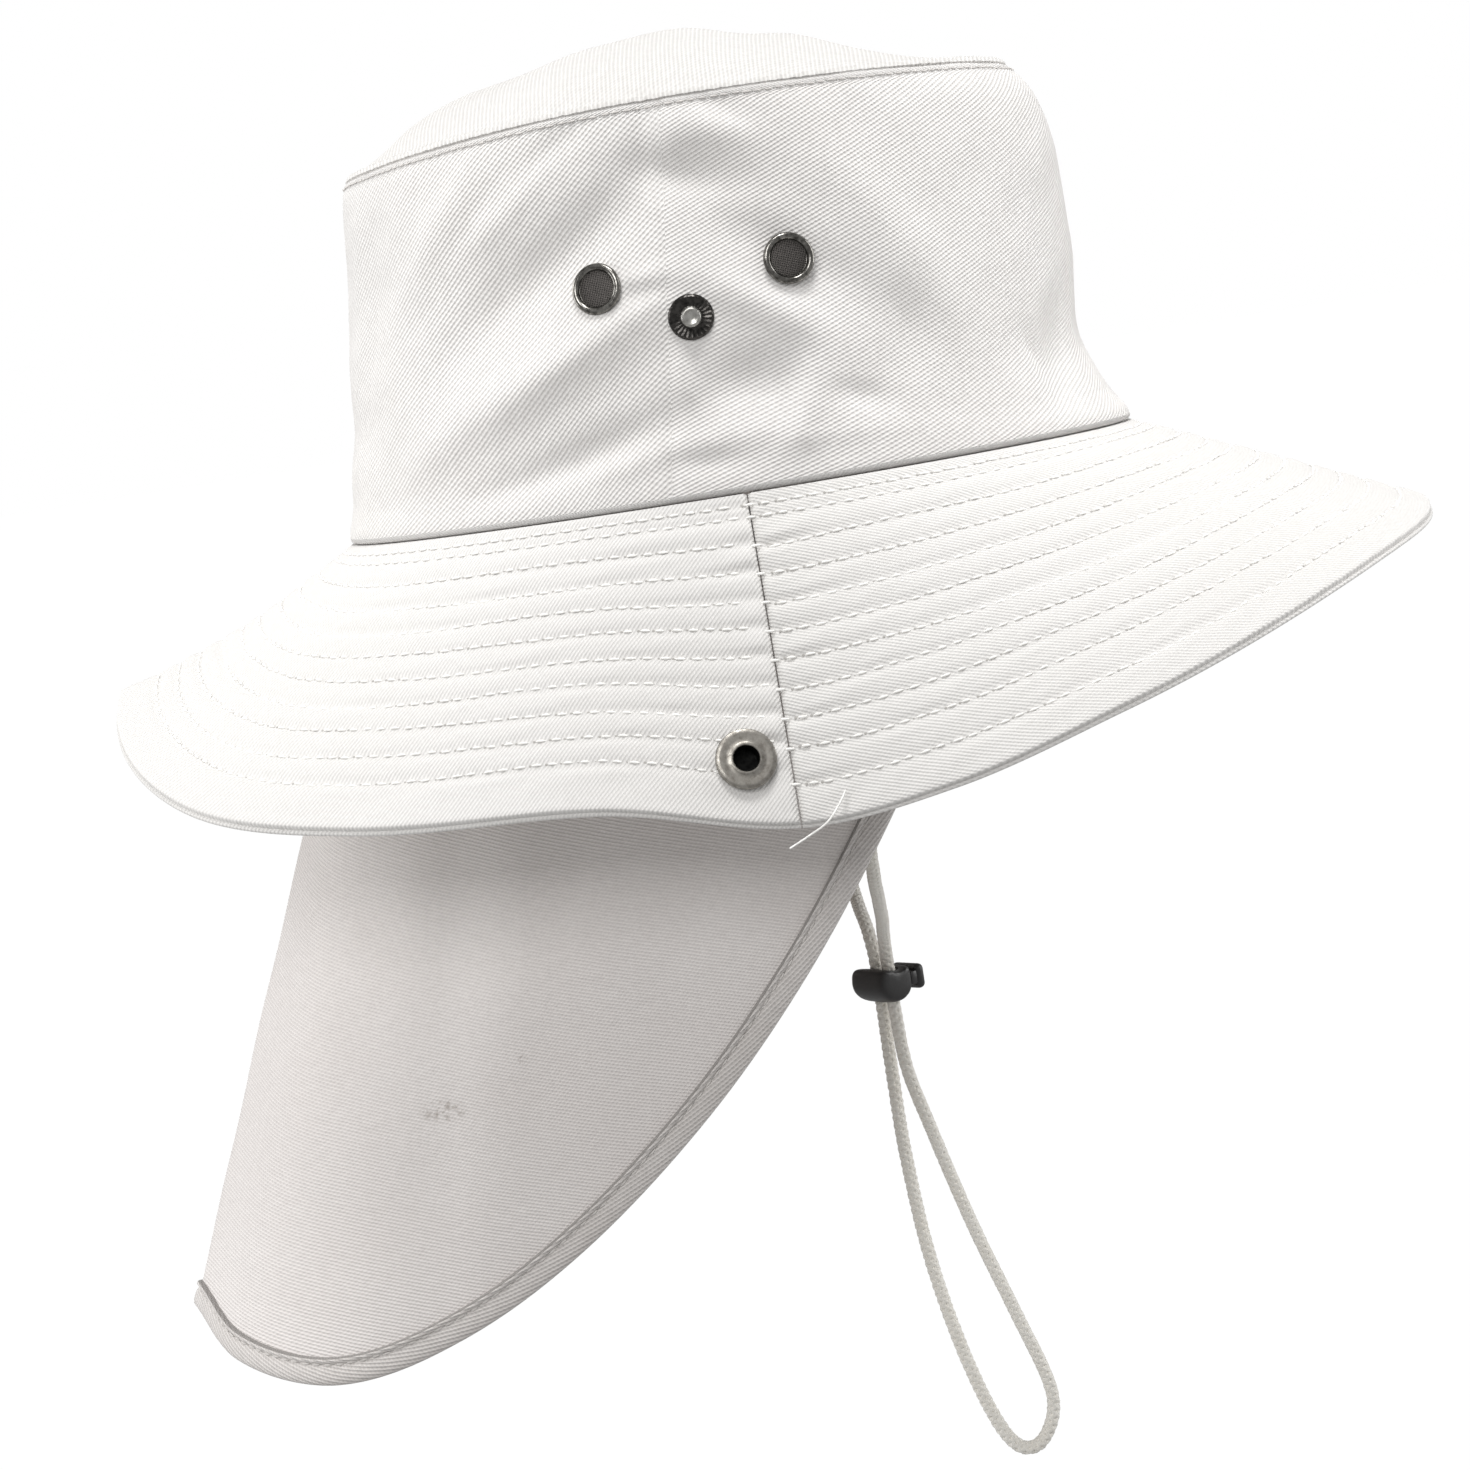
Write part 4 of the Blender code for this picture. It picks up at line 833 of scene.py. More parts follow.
def stitchMesh(name, runs, thread, size=1.0, holes=True):
    verts, faces, kinds = [], [], []
    count = 0
    for starts, ends, normals in runs:
        ahead = unit(ends - starts)
        side = np.cross(normals, ahead)
        for a, b, way, up, across in zip(starts, ends, ahead, normals, side):
            half = np.linalg.norm(b - a) / 2
            shape = capsuleVerts * (half, stitch["radius"] * size, stitch["radius"] * size * 0.75)
            bow = (1 - (shape[:, 0] / half) ** 2) * stitch["rise"]
            middle = (a + b) / 2
            verts.append(middle + shape[:, :1] * way + shape[:, 1:2] * across + (shape[:, 2:] + bow[:, None]) * up)
            faces += [tuple(i + count for i in face) for face in capsuleFaces]
            kinds += [0] * len(capsuleFaces)
            count += len(capsuleVerts)
            if not holes:
                continue
            # a flat dark disc just before the stitch: painted shade of its needle hole
            dot = capsuleVerts * (stitch["hole"] * size, stitch["hole"] * size * 0.9, 0.00005)
            spot = a - way * stitch["hole"] * 0.9
            verts.append(spot + dot[:, :1] * way + dot[:, 1:2] * across + dot[:, 2:] * up)
            faces += [tuple(i + count for i in face) for face in capsuleFaces]
            kinds += [1] * len(capsuleFaces)
            count += len(capsuleVerts)
    piece = meshPiece(name, np.concatenate(verts), faces)
    finishPiece(piece, "hat", thread, smooth=80)
    piece.data.materials.append(paintedHoleShade)
    piece.data.polygons.foreach_set("material_index", kinds)
    piece.data.update()
    return piece


def spaced(points, normals, pitch, length, seed, wobble=0.00012):  # stitch starts and ends along a line
    rng = random.Random(seed)
    run = np.concatenate(([0.0], np.cumsum(np.linalg.norm(np.diff(points, axis=0), axis=1))))
    starts = np.arange(pitch * 0.4, run[-1] - length, pitch)
    starts = starts + np.array([rng.uniform(-0.08, 0.08) * pitch for _ in starts])
    lengths = np.array([length * rng.uniform(0.88, 1.06) for _ in starts])

    def at(values, table):
        return np.stack([np.interp(values, run, table[:, k]) for k in range(3)], axis=1)

    shift = np.array([rng.uniform(-wobble, wobble) for _ in starts])[:, None]
    up = unit(at(starts + lengths / 2, normals))
    a, b = at(starts, points), at(starts + lengths, points)
    side = unit(np.cross(up, b - a))
    return a + side * shift, b + side * shift, up


def overSeam(share, row):  # one thread of a row where it crosses the gap between the panels
    step = stitch["overSeam"] / girth / 2
    along = np.full(2, row / 1000 / (brim["width"] * 1.02))
    point, facing, _ = brimLine(np.array((share - step, share + step)), along)
    point = point - facing * 0.0002
    return point[:1], point[1:], facing[:1]


def brimRows(name, first, last, rows, seed):
    slack = head["gap"] / 2 / girth
    shares = first + slack + (last - first - 2 * slack) * np.linspace(0.004, 0.996, 700)
    top, under = [], []
    for k, row in enumerate(rows):
        along = np.full_like(shares, row / 1000 / (brim["width"] * 1.02))
        drift = 0.0006 * ripple(shares * girth, 0.0, seed + k, 0.09, 5) / brim["width"]
        point, facing, width = brimLine(shares, along + drift * (k > 1))
        swell = brimQuilt(shares, along, width, rows, seed)
        line = point + facing * (swell + 0.00004)[:, None]
        top.append(spaced(line, facing, brim["pitch"], stitch["length"], seed * 50 + k))
        below = point - facing * (brim["cloth"] + swell + 0.00004)[:, None]
        under.append(spaced(below, -facing, brim["pitch"], stitch["length"] * 0.92, seed * 70 + k))
    if first < 0:
        top += [overSeam(share, row) for share in (first, last) for row in rows]
    stitchMesh(name + "Stitches", top, threadWhite)
    stitchMesh(name + "UnderStitches", under, threadWhite, holes=False)


brimRows("brimFront", -0.25, 0.25, brim["rows"]["front"], 21)
brimRows("brimBack", 0.25, 0.75, brim["rows"]["back"], 22)

shares = np.linspace(0, 1, 1400)
heights = np.full_like(shares, 1 - crown["topStitch"] / crown["height"])
wallLine = crownSurface(shares, heights)
wallOut = seamPoint(shares)[2]
stitchMesh("crownStitches", [spaced(wallLine + wallOut * 0.00006, wallOut, 0.0027, 0.0021, 404)],
           threadGrey, size=0.62)
print("stitching made")

# Neck flap
flap = {
    "length": 0.212, "cloth": 0.0008, "inset": 0.0036, "brimCloth": 0.0024, "solidCloth": 0.0010,
    "columns": 280, "rows": 90,
    # along, top round the seam, hem x and y, drop, bow
    "sections": ((0.00, 0.150, 0.272, 0.418, 0.060, 0.000), (0.12, 0.186, 0.185, 0.475, 0.255, 0.003),
                 (0.24, 0.220, 0.098, 0.490, 0.397, 0.008), (0.36, 0.256, -0.030, 0.480, 0.560, 0.012),
                 (0.48, 0.294, -0.174, 0.464, 0.706, 0.014), (0.60, 0.334, -0.342, 0.438, 0.836, 0.014),
                 (0.72, 0.376, -0.508, 0.408, 0.923, 0.012), (0.83, 0.422, -0.665, 0.352, 0.962, 0.008),
                 (0.92, 0.462, -0.797, 0.190, 0.944, 0.002), (1.00, 0.500, -0.864, 0.000, 0.905, 0.000)),
    # along, down, tilt, length, width, depth
    "folds": ((0.440, 0.72, 0.0, 0.42, 0.045, 0.008), (0.395, 0.66, 4.0, 0.36, 0.090, -0.008),
              (0.255, 0.30, -34.0, 0.20, 0.060, 0.017), (0.190, 0.60, -30.0, 0.24, 0.080, -0.008),
              (0.190, 0.32, 10.0, 0.13, 0.050, -0.016),
              (0.585, 0.70, -4.0, 0.40, 0.060, 0.018), (0.650, 0.60, 8.0, 0.34, 0.090, -0.016),
              (0.760, 0.50, 20.0, 0.28, 0.100, 0.012)),
}


def flapSurface(whole, down):  # whole runs from the right front end over the back to the left one
    sign = np.where(whole <= 0.5, -1.0, 1.0)
    along = 1 - np.abs(2 * whole - 1)
    share = smoothRead(flap["sections"], 1, along)
    turn, base, out = seamPoint(np.where(sign > 0, share, 1 - share))
    base = base - zUp * (2 * head["gap"] + flap["brimCloth"] + flap["solidCloth"] / 2)
    hem = np.stack((head["length"] * smoothRead(flap["sections"], 2, along),
                    sign * head["width"] * smoothRead(flap["sections"], 3, along),
                    -flap["length"] * smoothRead(flap["sections"], 4, along)), axis=-1)
    top = base - out * flap["inset"]
    length = np.linalg.norm(hem - top, axis=-1)
    depth = flap["length"] * smoothRead(flap["sections"], 5, along) * np.sin(math.pi * np.clip(down, 0, 1))
    for place, low, tilt, long, wide, high in flap["folds"]:
        tilt = math.radians(90 + tilt)
        off, up = (whole - place) * 2 * head["length"], (low - down) * length
        ran = off * math.cos(tilt) + up * math.sin(tilt)
        crossed = up * math.cos(tilt) - off * math.sin(tilt)
        depth = depth + (np.clip(down / 0.2, 0, 1) * high * flap["length"]
                         * np.exp(-(ran / (long * flap["length"])) ** 2 - (crossed / (wide * flap["length"])) ** 2))
    depth = depth + 0.00030 * ripple(whole * 0.55, down * length, 31, 0.05) * np.clip(down / 0.2, 0, 1) * (1 - 0.6 * np.clip(down, 0, 1) ** 6)
    point = top + (hem - top) * np.clip(down, 0, 1.2)[..., None] + out * depth[..., None]
    margin = np.minimum(down, 0.0)[..., None]
    return point + out * margin * (0.0065 - flap["inset"]), out


def flapGrid(u, v):
    down = np.where(v < 0.02, (v / 0.02 - 1), (v - 0.02) / 0.98)
    return flapSurface(u, down)[0]


def flapUv(u, v, middle):
    down = np.clip((v - 0.02) / 0.98, 0, 1)
    point = flapSurface(u, down)[0]
    around = (u - 0.5) * 0.56
    return np.stack((around, point[..., 2] * 1.06), axis=-1)


neckFlap = clothGrid("neckFlap", flap["columns"], flap["rows"], flapGrid, flapUv)
facesOut(neckFlap, (-0.08, -0.07, -0.12), (-0.3, -1, 0))
thicken(neckFlap, flap["cloth"], 0.0)
finishPiece(neckFlap, "hat", flapCloth, ("flap",))


def hemFrames(wholes):  # the hem's points, inward ways and facings
    step = 0.0008
    here = flapSurface(wholes, np.ones_like(wholes))[0]
    ran = unit(flapSurface(np.minimum(wholes + step, 1), np.ones_like(wholes))[0]
               - flapSurface(np.maximum(wholes - step, 0), np.ones_like(wholes))[0])
    top = flapSurface(wholes, np.zeros_like(wholes))[0]
    inner = flapSurface(wholes, 1 - np.minimum(0.006 / np.linalg.norm(here - top, axis=-1), 0.8))[0]
    facing = unit(np.cross(inner - here, ran))
    facing = facing * np.sign(np.sum(facing * flapSurface(wholes, np.ones_like(wholes))[1], axis=-1))[:, None]
    inward = unit(np.cross(facing, ran))
    inward = inward * np.sign(np.sum(inward * (inner - here), axis=-1))[:, None]
    return here, inward, facing, top


def smoothRows(rows, passes):
    for _ in range(passes):
        rows[1:-1] = (rows[:-2] + 2 * rows[1:-1] + rows[2:]) / 4
    return rows


binding = {"width": 0.0060, "proud": 0.0016, "welt": 0.0019, "pitch": 0.0036, "columns": 900,
           # inward from the hem and off the flap's middle, as shares of the width and of proud
           "section": ((1.00, 0.45), (0.97, 0.95), (0.90, 1.18), (0.82, 1.16), (0.75, 0.80), (0.70, 0.62),
                       (0.64, 0.74), (0.50, 0.92), (0.30, 1.00), (0.10, 0.98), (-0.08, 0.80), (-0.18, 0.40))}
allWholes = np.linspace(0, 1, 4001)
here, inward, facing, top = hemFrames(allWholes)
tall = np.linalg.norm(here - top, axis=-1)
used = allWholes[tall > 0.0125]
wholes = np.linspace(used[0], used[-1], binding["columns"] + 1)
hem, hemIn, hemFacing, _ = hemFrames(wholes)
hemIn, hemFacing = unit(smoothRows(hemIn, 12)), unit(smoothRows(hemFacing, 12))
hemRun = np.concatenate(([0.0], np.cumsum(np.linalg.norm(np.diff(hem, axis=0), axis=1))))
half = np.array(binding["section"])
section = np.concatenate((half, (half * (1, -1))[::-1]))
sectionRun = np.concatenate(([0.0], np.cumsum(np.linalg.norm(np.diff(section * (binding["width"], binding["proud"]), axis=0), axis=1))))


def bindingGrid(u, v):
    i = np.clip(np.round(u * binding["columns"]).astype(int), 0, binding["columns"])
    j = np.clip(np.round(v * (len(section) - 1)).astype(int), 0, len(section) - 1)
    inBy, outBy = section[j, 0] * binding["width"], section[j, 1] * binding["proud"]
    wave = 1 + 0.05 * np.sin(2 * math.pi * hemRun[i] / binding["pitch"]) * (np.abs(section[j, 0] - 0.7) < 0.2)
    return hem[i] + hemIn[i] * inBy[:, None] + hemFacing[i] * (outBy * wave)[:, None]


def bindingUv(u, v, middle):
    i = np.clip(np.round(u * binding["columns"]).astype(int), 0, binding["columns"])
    j = np.clip(np.round(v * (len(section) - 1)).astype(int), 0, len(section) - 1)
    return np.stack((hemRun[i], sectionRun[j]), axis=-1)


flapBinding = clothGrid("flapBinding", binding["columns"], len(section) - 1, bindingGrid, bindingUv)
closeEnds(flapBinding, binding["columns"], len(section) - 1)
finishPiece(flapBinding, "hat", tapeCloth, ("flap_binding",))
seamIn = binding["width"] * 0.70
outer = hem + hemIn * seamIn + hemFacing * (binding["proud"] * 0.66)
inner = hem + hemIn * seamIn - hemFacing * (binding["proud"] * 0.66)
stitchMesh("bindingStitches", [spaced(outer, hemFacing, binding["pitch"], 0.0027, 501),
                               spaced(inner, -hemFacing, binding["pitch"], 0.0027, 502)], threadGrey, size=0.8)
print("binding made")

# Metal parts
def plateFrame(node, top):  # a turned node's own axes: its middle on the cloth and its outward way
    mesh = nodes[node].data
    points = np.array([v.co[:] for v in mesh.vertices])
    middle = (points.max(axis=0) + points.min(axis=0)) / 2
    spin = np.linalg.svd(points - points.mean(axis=0), full_matrices=False)[2]
    way = spin[2] * np.sign(spin[2][1] * middle[1])
    heights = (points - middle) @ way
    centre = points.mean(axis=0)
    centre = centre + way * (heights.max() + (middle - centre) @ way)
    place = Vector(centre - way * top)
    turn = Vector((0, 0, 1)).rotation_difference(Vector(way)).to_matrix().to_4x4()
    return Matrix.Translation(place) @ turn


def turnedPiece(name, profile, sides, place):  # rings extruded one on another, closed at both ends
    clearSelection()
    bpy.ops.mesh.primitive_circle_add(vertices=sides, radius=profile[0][0], location=(0, 0, profile[0][1]), fill_type="NGON")
    piece = named(name)
    bpy.ops.object.mode_set(mode="EDIT")
    bpy.ops.mesh.select_all(action="SELECT")
    for (radius, height), (nextRadius, nextHeight) in zip(profile, profile[1:]):
        bpy.ops.mesh.extrude_region_move(TRANSFORM_OT_translate={"value": (0, 0, nextHeight - height)})
        grow = nextRadius / radius
        bpy.ops.transform.resize(value=(grow, grow, 1))
    bpy.ops.mesh.select_all(action="SELECT")
    bpy.ops.mesh.normals_make_consistent(inside=False)
    bpy.ops.object.mode_set(mode="OBJECT")
    settle(piece)
    piece.data.transform(place)
    return piece


vent = {"top": 0.0013, "profile": (
    (0.00320, -0.0023), (0.00398, -0.0023), (0.00398, 0.00002), (0.00600, 0.00002), (0.00622, 0.0002),
    (0.00625, 0.0005), (0.00612, 0.0009), (0.00585, 0.0012), (0.00545, 0.0013), (0.00505, 0.00125),
    (0.00475, 0.00105), (0.00455, 0.0007), (0.00440, 0.00045), (0.00425, 0.0004))}
screen = {"radius": 0.0044, "height": 0.00042, "dome": 0.00025}


# a dark wire mesh; the gaps between its wires are painted near black as shade of the hat's inside seen through them
def screenWithGapShade():
    material, tree, shader = startMaterial("vent screen, painted gap shade")
    shader.inputs["Metallic"].default_value = 0.9
    shader.inputs["Roughness"].default_value = 0.5
    place = tree.nodes.new("ShaderNodeTexCoord")
    split = tree.nodes.new("ShaderNodeSeparateXYZ")
    tree.links.new(place.outputs["Object"], split.inputs[0])
    pitch = 2 * math.pi / 0.00042
    warp = mathNode(tree, "SINE", mathNode(tree, "MULTIPLY", split.outputs["X"], pitch))
    weft = mathNode(tree, "SINE", mathNode(tree, "MULTIPLY", split.outputs["Z"], pitch))
    mesh = mathNode(tree, "MAXIMUM", warp, weft)
    # near black in the gaps is painted shade; the dark grey on the wires is the metal's own colour
    tree.links.new(mixColour(tree, spread(tree, mesh, 0.2, 0.9), (0.02, 0.019, 0.018), (0.13, 0.12, 0.112)),
                   shader.inputs["Base Color"])
    bumpInto(tree, shader, mesh, 0.00008, 0.8)
    return material


screenMetalAndGapShade = screenWithGapShade()
for node in ("vent_right_front", "vent_right_back", "vent_left_front", "vent_left_back"):
    place = plateFrame(node, vent["top"])
    words = node.split("_")
    tag = words[1].capitalize() + words[2].capitalize()
    ring = turnedPiece("vent" + tag, vent["profile"] + ((0.0042, 0.0001), (0.0005, 0.0001)), 64, place)
    finishPiece(ring, "hat", ventMetal, (node,), smooth=40)
    domed = [(0.0004, -0.0001), (screen["radius"], -0.0001)]
    domed += [(screen["radius"] * math.cos(a), screen["height"] + screen["dome"] * math.sin(a))
              for a in np.linspace(0.15, 1.5, 8)]
    disc = turnedPiece("screen" + tag, domed, 48, place)
    finishPiece(disc, "hat", screenMetalAndGapShade, smooth=40)

stud = {"top": 0.0032, "plate": (
    (0.0004, -0.0023), (0.0013, -0.0023), (0.0013, 0.00002), (0.0052, 0.00002), (0.0055, 0.0002),
    (0.0055, 0.0004), (0.0053, 0.0007), (0.0049, 0.00088), (0.0044, 0.0008), (0.0038, 0.00066),
    (0.0031, 0.0006), (0.0026, 0.0007), (0.0004, 0.0007)),
    "post": ((0.0004, 0.0003), (0.0027, 0.0003), (0.00265, 0.0009), (0.0023, 0.0012), (0.0020, 0.0016),
             (0.0019, 0.0019), (0.0021, 0.0022), (0.00232, 0.0025), (0.00236, 0.0028), (0.0022, 0.0031),
             (0.0019, 0.0032), (0.0015, 0.00315), (0.0011, 0.0029), (0.0005, 0.0028)), "teeth": 26}
for node in ("snap_stud_right", "snap_stud_left"):
    place = plateFrame(node, stud["top"])
    tag = node.split("_")[2].capitalize()
    plate = turnedPiece("studPlate" + tag, stud["plate"], 104, Matrix.Identity(4))
    for vert in plate.data.vertices:
        away = math.hypot(vert.co.x, vert.co.y)
        if 0.0030 < away < 0.0050 and vert.co.z > 0.0005:
            turn = math.atan2(vert.co.y, vert.co.x)
            vert.co.z += 0.00018 * (0.5 + 0.5 * math.sin(stud["teeth"] * turn))
    plate.data.transform(place)
    finishPiece(plate, "hat", studMetal, (node,), smooth=35)
    post = turnedPiece("studPost" + tag, stud["post"], 48, place)
    finishPiece(post, "hat", postMetal, smooth=50)

socket = {"top": 0.0016, "hole": 0.00306, "ring": (
    (0.0004, -0.0031), (0.0033, -0.0031), (0.0033, 0.00002), (0.0070, 0.00002), (0.00722, 0.0002),
    (0.00725, 0.0009), (0.0071, 0.0013), (0.0067, 0.00152), (0.0061, 0.00156), (0.0050, 0.00148),
    (0.0042, 0.00148), (0.0039, 0.0016), (0.0036, 0.00172), (0.0033, 0.0017), (0.0031, 0.0015),
    (0.0030, 0.0010), (0.0030, -0.0024), (0.0004, -0.0024))}
for node in ("snap_socket_right", "snap_socket_left"):
    place = plateFrame(node, socket["top"])
    ring = turnedPiece("socket" + node.split("_")[2].capitalize(), socket["ring"], 72, Matrix.Identity(4))
    # faces inside the hole get the near-black finish: painted shade of the hole's depth
    paintedShadeFaces = [math.hypot(face.center.x, face.center.y) < socket["hole"] and face.center.z > -0.0026
            for face in ring.data.polygons]
    ring.data.transform(place)
    finishPiece(ring, "hat", ringMetal, (node,), smooth=40)
    ring.data.materials.append(socketPaintedShade)
    ring.data.polygons.foreach_set("material_index", [int(inside) for inside in paintedShadeFaces])
print("metal made")


def punch(piece, spots, radius):  # round holes through cloth for the metal parts' barrels
    cutters = []
    for place in spots:
        clearSelection()
        bpy.ops.mesh.primitive_cylinder_add(vertices=32, radius=radius, depth=0.012)
        cutterPiece = named("holeCutter")
        cutterPiece.data.transform(place)
        cutters.append(cutterPiece)
    pick(*cutters)
    if len(cutters) > 1:
        bpy.ops.object.join()
    cutter = bpy.context.active_object
    cut = piece.modifiers.new("holes", "BOOLEAN")
    cut.operation = "DIFFERENCE"
    cut.solver = "EXACT"
    cut.object = cutter
    applyModifiers(piece)
    bpy.data.objects.remove(cutter)


punch(crownSide, [plateFrame(node, vent["top"]) for node in nodes if node.startswith("vent")], 0.0041)
punch(crownSide, [plateFrame(node, stud["top"]) for node in nodes if node.startswith("snap_stud")], 0.0015)
punch(brimBack, [plateFrame(node, socket["top"]) for node in nodes if node.startswith("snap_socket")], 0.0034)
finishPiece(crownSide, "hat", crownCloth, ("crown_side",))
finishPiece(brimFront, "hat", brimFrontCloth, ("brim_front",))
finishPiece(brimBack, "hat", brimBackCloth, ("brim_back",))
print("holes punched")

# Cord lock
lock = {"place": (0.0165, 0.0, -0.1365), "yaw": 38.0, "length": 0.0115, "width": 0.0138, "above": 0.0046,
        "below": 0.0052, "slotHalf": (0.0022, 0.0046), "knobLength": 0.0030, "knobHeight": 0.0066,
        "travel": 0.0020, "gap": 0.0003, "stemHigh": 0.0036}
lockPlace = Matrix.Translation(lock["place"]) @ Matrix.Rotation(math.radians(lock["yaw"]), 4, "Z")


def blackPlastic():
    material, tree, shader = startMaterial("black plastic")
    shader.inputs["Base Color"].default_value = (0.022, 0.021, 0.021, 1.0)
    shader.inputs["Specular IOR Level"].default_value = 0.5
    place = tree.nodes.new("ShaderNodeTexCoord")
    fine = noiseNode(tree, place.outputs["Object"], 1500.0, 3.0, 0.6)
    rough = mathNode(tree, "ADD", mathNode(tree, "MULTIPLY", fine, 0.2), 0.30)
    tree.links.new(rough, shader.inputs["Roughness"])
    bumpInto(tree, shader, fine, 0.00006, 0.5)
    return material


plastic = blackPlastic()


def beanBody():
    clearSelection()
    back, front = -lock["length"] * 0.6, lock["length"] * 0.4
    outline = ((back, 0.10), (back * 0.93, 0.72), (back * 0.78, 1.0), (back * 0.45, 0.98), (back * 0.14, 0.76),
               (front * 0.40, 0.76), (front * 0.72, 0.92), (front * 0.94, 0.86), (front, 0.40), (front, -0.36),
               (front * 0.72, -0.70), (front * 0.24, -0.96), (back * 0.28, -1.0), (back * 0.66, -0.76),
               (back * 0.93, -0.36))
    bpy.ops.mesh.primitive_circle_add(vertices=len(outline), radius=0.005, fill_type="NGON")
    body = named("lockBody")
    for vert, (x, z) in zip(body.data.vertices, outline):
        vert.co = (x, -lock["width"] / 2, z * (lock["above"] if z > 0 else lock["below"]))
    bpy.ops.object.mode_set(mode="EDIT")
    bpy.ops.mesh.select_all(action="SELECT")
    for share in (0.08, 0.84, 0.08):
        bpy.ops.mesh.extrude_region_move(TRANSFORM_OT_translate={"value": (0, lock["width"] * share, 0)})
    bpy.ops.mesh.select_all(action="SELECT")
    bpy.ops.mesh.normals_make_consistent(inside=False)
    bpy.ops.object.mode_set(mode="OBJECT")
    for vert in body.data.vertices:
        if abs(vert.co.y) > lock["width"] * 0.49:
            vert.co.x = vert.co.x * 0.82
            vert.co.z = vert.co.z * 0.80
    smooth = body.modifiers.new("rounding", "SUBSURF")
    smooth.levels = smooth.render_levels = 3
    applyModifiers(body)
    slotX, slotY = lock["slotHalf"]
    clearSelection()
    bpy.ops.mesh.primitive_cube_add(size=1.0)
    slotTool = named("slotTool")
    slotTool.scale = (slotX * 2, slotY * 2, lock["length"] * 2)
    settle(slotTool)
    rounded = slotTool.modifiers.new("round", "BEVEL")
    rounded.width = 0.0012
    rounded.segments = 4
    applyModifiers(slotTool)
    cut = body.modifiers.new("slot", "BOOLEAN")
    cut.object = slotTool
    cut.operation = "DIFFERENCE"
    cut.solver = "EXACT"
    applyModifiers(body)
    bpy.data.objects.remove(slotTool)
    # the pocket that the stem slides in
    pocketBack, pocketFront = 0.0051 - lock["travel"] - lock["gap"], front + 0.0020
    clearSelection()
    bpy.ops.mesh.primitive_cube_add(size=1.0, location=((pocketBack + pocketFront) / 2, 0, 0))
    pocketTool = named("pocketTool")
    pocketTool.scale = (pocketFront - pocketBack, 0.0100 + 2 * lock["gap"], lock["stemHigh"] + 2 * lock["gap"])
    settle(pocketTool)
    pocket = body.modifiers.new("pocket", "BOOLEAN")
    pocket.object = pocketTool
    pocket.operation = "DIFFERENCE"
    pocket.solver = "EXACT"
    applyModifiers(body)
    bpy.data.objects.remove(pocketTool)
    body.data.transform(lockPlace)
    return body


lockBody = finishPiece(beanBody(), "hat", plastic, ("cord_lock_body",), smooth=40)


def plungerKnob():
    clearSelection()
    start = lock["length"] * 0.4 + lock["gap"] + lock["travel"]
    high, wide = lock["knobHeight"], 0.0108
    bpy.ops.mesh.primitive_cube_add(size=1.0, location=(start + lock["knobLength"] / 2, 0, 0))
    knob = named("lockPlunger")
    knob.scale = (lock["knobLength"], wide, high)
    settle(knob)
    rounded = knob.modifiers.new("round", "BEVEL")
    rounded.width = 0.0014
    rounded.segments = 5
    applyModifiers(knob)
    clearSelection()
    bpy.ops.mesh.primitive_cube_add(size=1.0, location=(start / 2 + 0.0028, 0, 0))
    stem = named("lockStem")
    stem.scale = (start - 0.0046, 0.0100, lock["stemHigh"])
    settle(stem)
    rounded = stem.modifiers.new("round", "BEVEL")
    rounded.width = 0.0004
    rounded.segments = 2
    applyModifiers(stem)
    pick(knob, stem)
    bpy.ops.object.join()
    knob.data.transform(lockPlace)
    return knob


finishPiece(plungerKnob(), "plunger", plastic, ("cord_lock_plunger",), smooth=40)
print("lock made")

# Loose thread end at the brim's edge
looseThread = {"radius": 0.00024, "route": ((0.0113, -0.1105, -0.0707), (0.0091, -0.1130, -0.0736),
                                            (0.0057, -0.1160, -0.0768), (0.0011, -0.1175, -0.0790),
                                            (-0.0037, -0.1180, -0.0811))}
threadLine, _ = smoothRoute(looseThread["route"], 0.0005)
threadVerts, threadFaces = tubeMesh([threadLine], [looseThread["radius"]], 6)
finishPiece(meshPiece("looseThread", threadVerts, threadFaces), "hat", threadWhite)

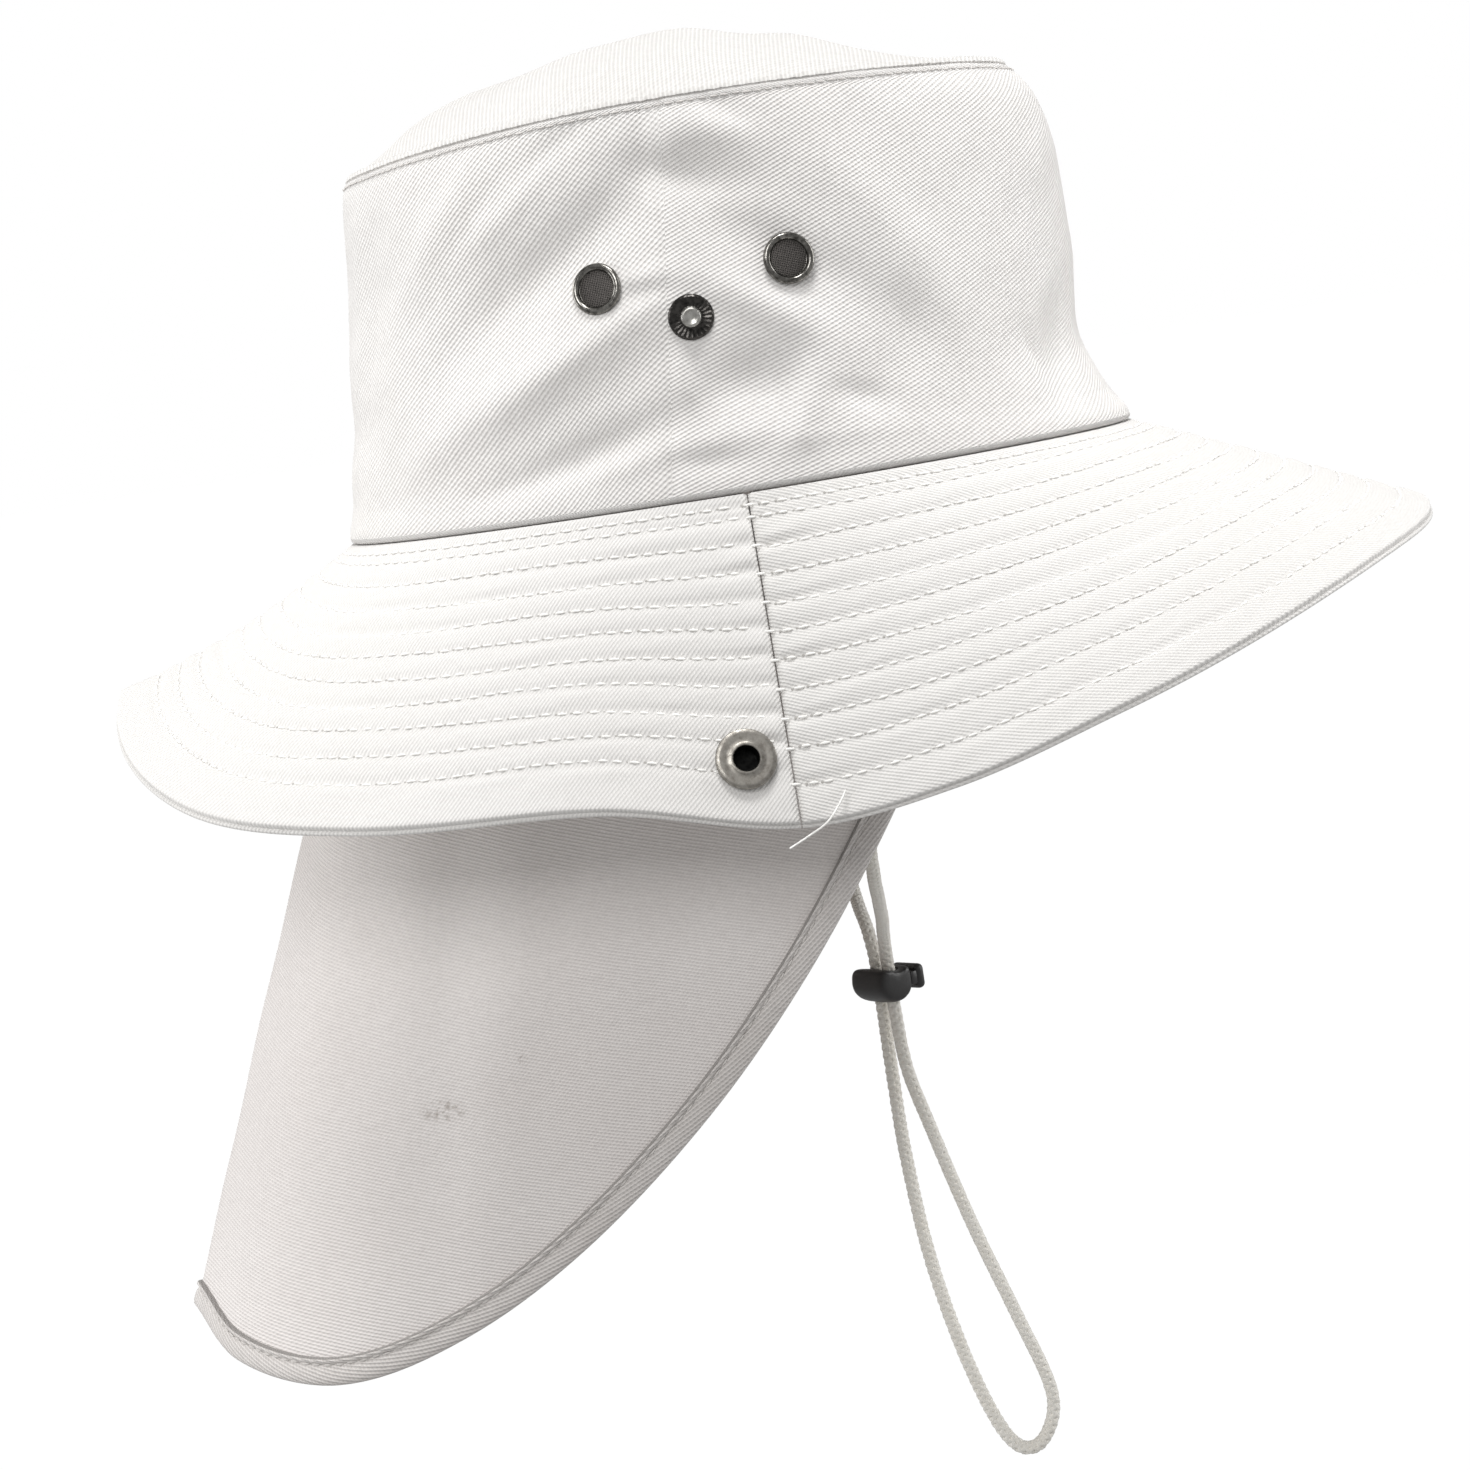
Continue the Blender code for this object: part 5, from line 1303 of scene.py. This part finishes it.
# Floor, world and lights
studio = {"floor": -0.46, "white": (1.0, 1.0, 1.0), "seen": 1.0, "ambient": 0.42, "floorGlow": 0.42}
clearSelection()
bpy.ops.mesh.primitive_plane_add(size=60.0, location=(0, 0, studio["floor"]))
floor = named("studioFloor")
settle(floor)
material, tree, shader = startMaterial("pale floor")
shader.inputs["Base Color"].default_value = (0.02, 0.02, 0.02, 1.0)
shader.inputs["Roughness"].default_value = 1.0
shader.inputs["Specular IOR Level"].default_value = 0.0
shader.inputs["Emission Color"].default_value = (*studio["white"], 1.0)
path = tree.nodes.new("ShaderNodeLightPath")
glow = mathNode(tree, "MULTIPLY", path.outputs["Is Camera Ray"], studio["seen"] - studio["floorGlow"])
tree.links.new(mathNode(tree, "ADD", glow, studio["floorGlow"]), shader.inputs["Emission Strength"])
floor.data.materials.append(material)
world = bpy.data.worlds.new("studio")
world.use_nodes = True
tree = world.node_tree
backdrop = tree.nodes["Background"]
backdrop.inputs["Color"].default_value = (*studio["white"], 1.0)
path = tree.nodes.new("ShaderNodeLightPath")
glow = mathNode(tree, "MULTIPLY", path.outputs["Is Camera Ray"], studio["seen"] - studio["ambient"])
tree.links.new(mathNode(tree, "ADD", glow, studio["ambient"]), backdrop.inputs["Strength"])
bpy.context.scene.world = world
bpy.context.scene.view_settings.view_transform = "Standard"


def softbox(name, place, aim, size, power):
    bpy.ops.object.light_add(type="AREA", location=place)
    lamp = bpy.context.active_object
    lamp.name = name
    lamp.data.shape = "RECTANGLE"
    lamp.data.size, lamp.data.size_y = size
    lamp.data.energy = power
    lamp.rotation_euler = (Vector(aim) - Vector(place)).to_track_quat("-Z", "Y").to_euler()


clearSelection()
softbox("topLight", (0.10, -0.45, 1.35), (0, 0, 0), (0.5, 0.5), 12.0)
softbox("frontFill", (-0.45, -1.35, 0.85), (0, 0, -0.05), (0.7, 0.7), 9.0)
softbox("leftLight", (-1.5, 0.2, 0.3), (0, 0, -0.05), (0.7, 1.2), 13.0)
softbox("rightLight", (1.5, 0.1, 0.4), (0, 0, -0.05), (0.7, 1.2), 12.0)
